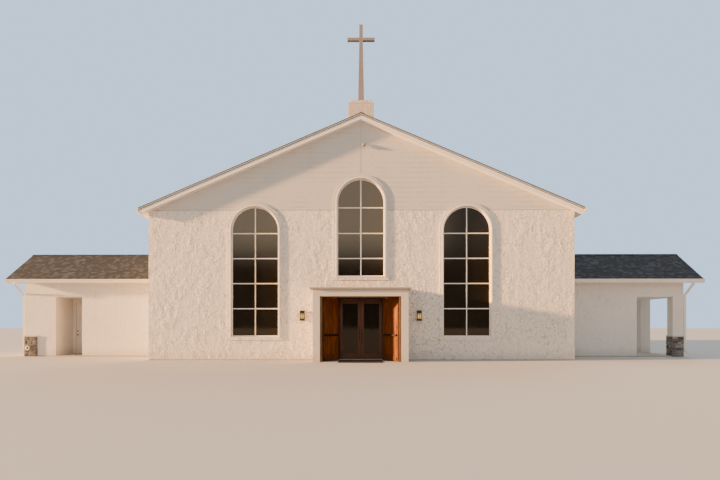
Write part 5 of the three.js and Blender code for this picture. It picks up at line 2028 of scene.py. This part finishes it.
@dataclass
class Stage:
    """Floor, light and camera."""

    eye: Triple = (0.16, -22.82, 1.445)
    turn_degrees: float = 0.53
    focal_length: float = 28.0
    sensor: float = 36.0
    shift: Pair = (0.0006, 0.1174)
    view_end: float = 500.0
    floor_size: float = 400.0
    floor_level: float = -0.002
    floor_color: Triple = (0.46, 0.475, 0.49)
    plain: Triple = (0.80, 1.06, 1.42)
    sky: Triple = (0.70, 0.69, 0.68)
    horizon: Triple = (0.20, 0.16, 0.12)
    low_fill: Triple = (0.62, 0.55, 0.48)
    softbox: Triple = (3.9, 3.40, 2.75)
    softbox_edge: float = 7.0
    horizon_rise: Pair = (0.09, 0.17)
    softbox_lid: Pair = (0.42, 0.30)

    def build(self) -> None:
        """Sets the floor, the dome, a warm low key from the front left, a fill and the camera."""
        self.floor()
        self.dome()
        self.sun("warm_key", (-58.6, -8.75, 9.6), (1.0, 0.50, 0.17), 23.0, 2.5)
        self.sun("back_fill", (20.0, 60.0, 45.0), (1.0, 0.96, 0.92), 0.9, 30.0)
        self.camera()

    def floor(self) -> None:
        """Adds a plain pale floor just under the building."""
        half = self.floor_size / 2
        mesh = bpy.data.meshes.new("studio_floor")
        corners = [(x * half, y * half, self.floor_level) for x, y in ((-1, -1), (1, -1), (1, 1), (-1, 1))]
        mesh.from_pydata(corners, [], [(0, 1, 2, 3)])
        material = bpy.data.materials.new("studio_floor")
        material.use_nodes = True
        shader = material.node_tree.nodes["Principled BSDF"]
        shader.inputs["Base Color"].default_value = (*self.floor_color, 1.0)
        shader.inputs["Roughness"].default_value = 0.9
        mesh.materials.append(material)
        floor = bpy.data.objects.new("studio_floor", mesh)
        bpy.context.scene.collection.objects.link(floor)

    def dome(self) -> None:
        """Makes the surround: plain to the camera, even to matt faces, and shaped to mirroring ones.

        Mirroring faces see a dim rim under a bright dome, with a softbox low to the front left. Its
        right edge is the upright plane 7 degrees to the right of straight ahead of the building.
        """
        world = bpy.data.worlds.new("studio")
        world.use_nodes = True
        world.node_tree.nodes.clear()
        w = Wiring(world.node_tree)
        x, y, z = w.split(w.node("ShaderNodeTexCoord").outputs["Generated"])
        rise = w.window(z, *self.horizon_rise)
        edge = math.radians(self.softbox_edge)
        across = w.plus(w.times(x, -math.cos(edge)), w.times(y, -math.sin(edge)))
        ahead = w.window(w.times(y, -1.0), 0.0, 0.25)
        inside = w.times(w.times(rise, w.window(across, -0.06, 0.06)), ahead)
        box = w.times(inside, w.window(z, *self.softbox_lid))
        mirrored = w.blend(box, w.blend(rise, self.horizon, self.sky), self.softbox)
        path = w.node("ShaderNodeLightPath").outputs
        light = w.blend(path["Is Diffuse Ray"], mirrored, w.blend(rise, self.low_fill, self.sky))
        lit, plain = (w.wire("ShaderNodeBackground", 0, {"Color": color}) for color in (light, self.plain))
        mix = w.wire("ShaderNodeMixShader", 0, {0: path["Is Camera Ray"], 1: lit, 2: plain})
        w.feed(w.node("ShaderNodeOutputWorld").inputs["Surface"], mix)
        bpy.context.scene.world = world

    def sun(self, name: str, place: Triple, color: Triple, strength: float, spread: float) -> None:
        """Adds one distant light that shines from a place to the origin."""
        data = bpy.data.lights.new(name, "SUN")
        data.color, data.energy, data.angle = color, strength, math.radians(spread)
        light = bpy.data.objects.new(name, data)
        light.location = place
        light.rotation_euler = (-Vector(place)).to_track_quat("-Z", "Y").to_euler()
        bpy.context.scene.collection.objects.link(light)

    def camera(self) -> None:
        """Sets a level camera on the path's line, at eye height."""
        data = bpy.data.cameras.new("camera")
        data.lens, data.sensor_width, data.clip_end = self.focal_length, self.sensor, self.view_end
        data.shift_x, data.shift_y = self.shift
        camera = bpy.data.objects.new("camera", data)
        camera.location = self.eye
        camera.rotation_euler = (math.pi / 2, 0.0, math.radians(self.turn_degrees))
        bpy.context.scene.collection.objects.link(camera)
        bpy.context.scene.camera = camera


def main() -> None:
    """Builds every sub-assembly."""
    logging.basicConfig(level=logging.INFO, format="%(name)s %(message)s")
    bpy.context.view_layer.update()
    Stage().build()
    Walls().build()
    GableFixture().build()
    NaveRoof().build()
    Windows().build()
    Portal().build()
    for side in (-1.0, 1.0):
        WoodDoor(side).build()
        GlassDoor(side).build()
    for name in ("left", "right"):
        Lantern(name).build()
        Wing(name).build()
    RidgeCross().build()
    StoneBases().build()
    SideDoor().build()
    PorchCeiling().build()


if __name__ == "__main__":
    main()
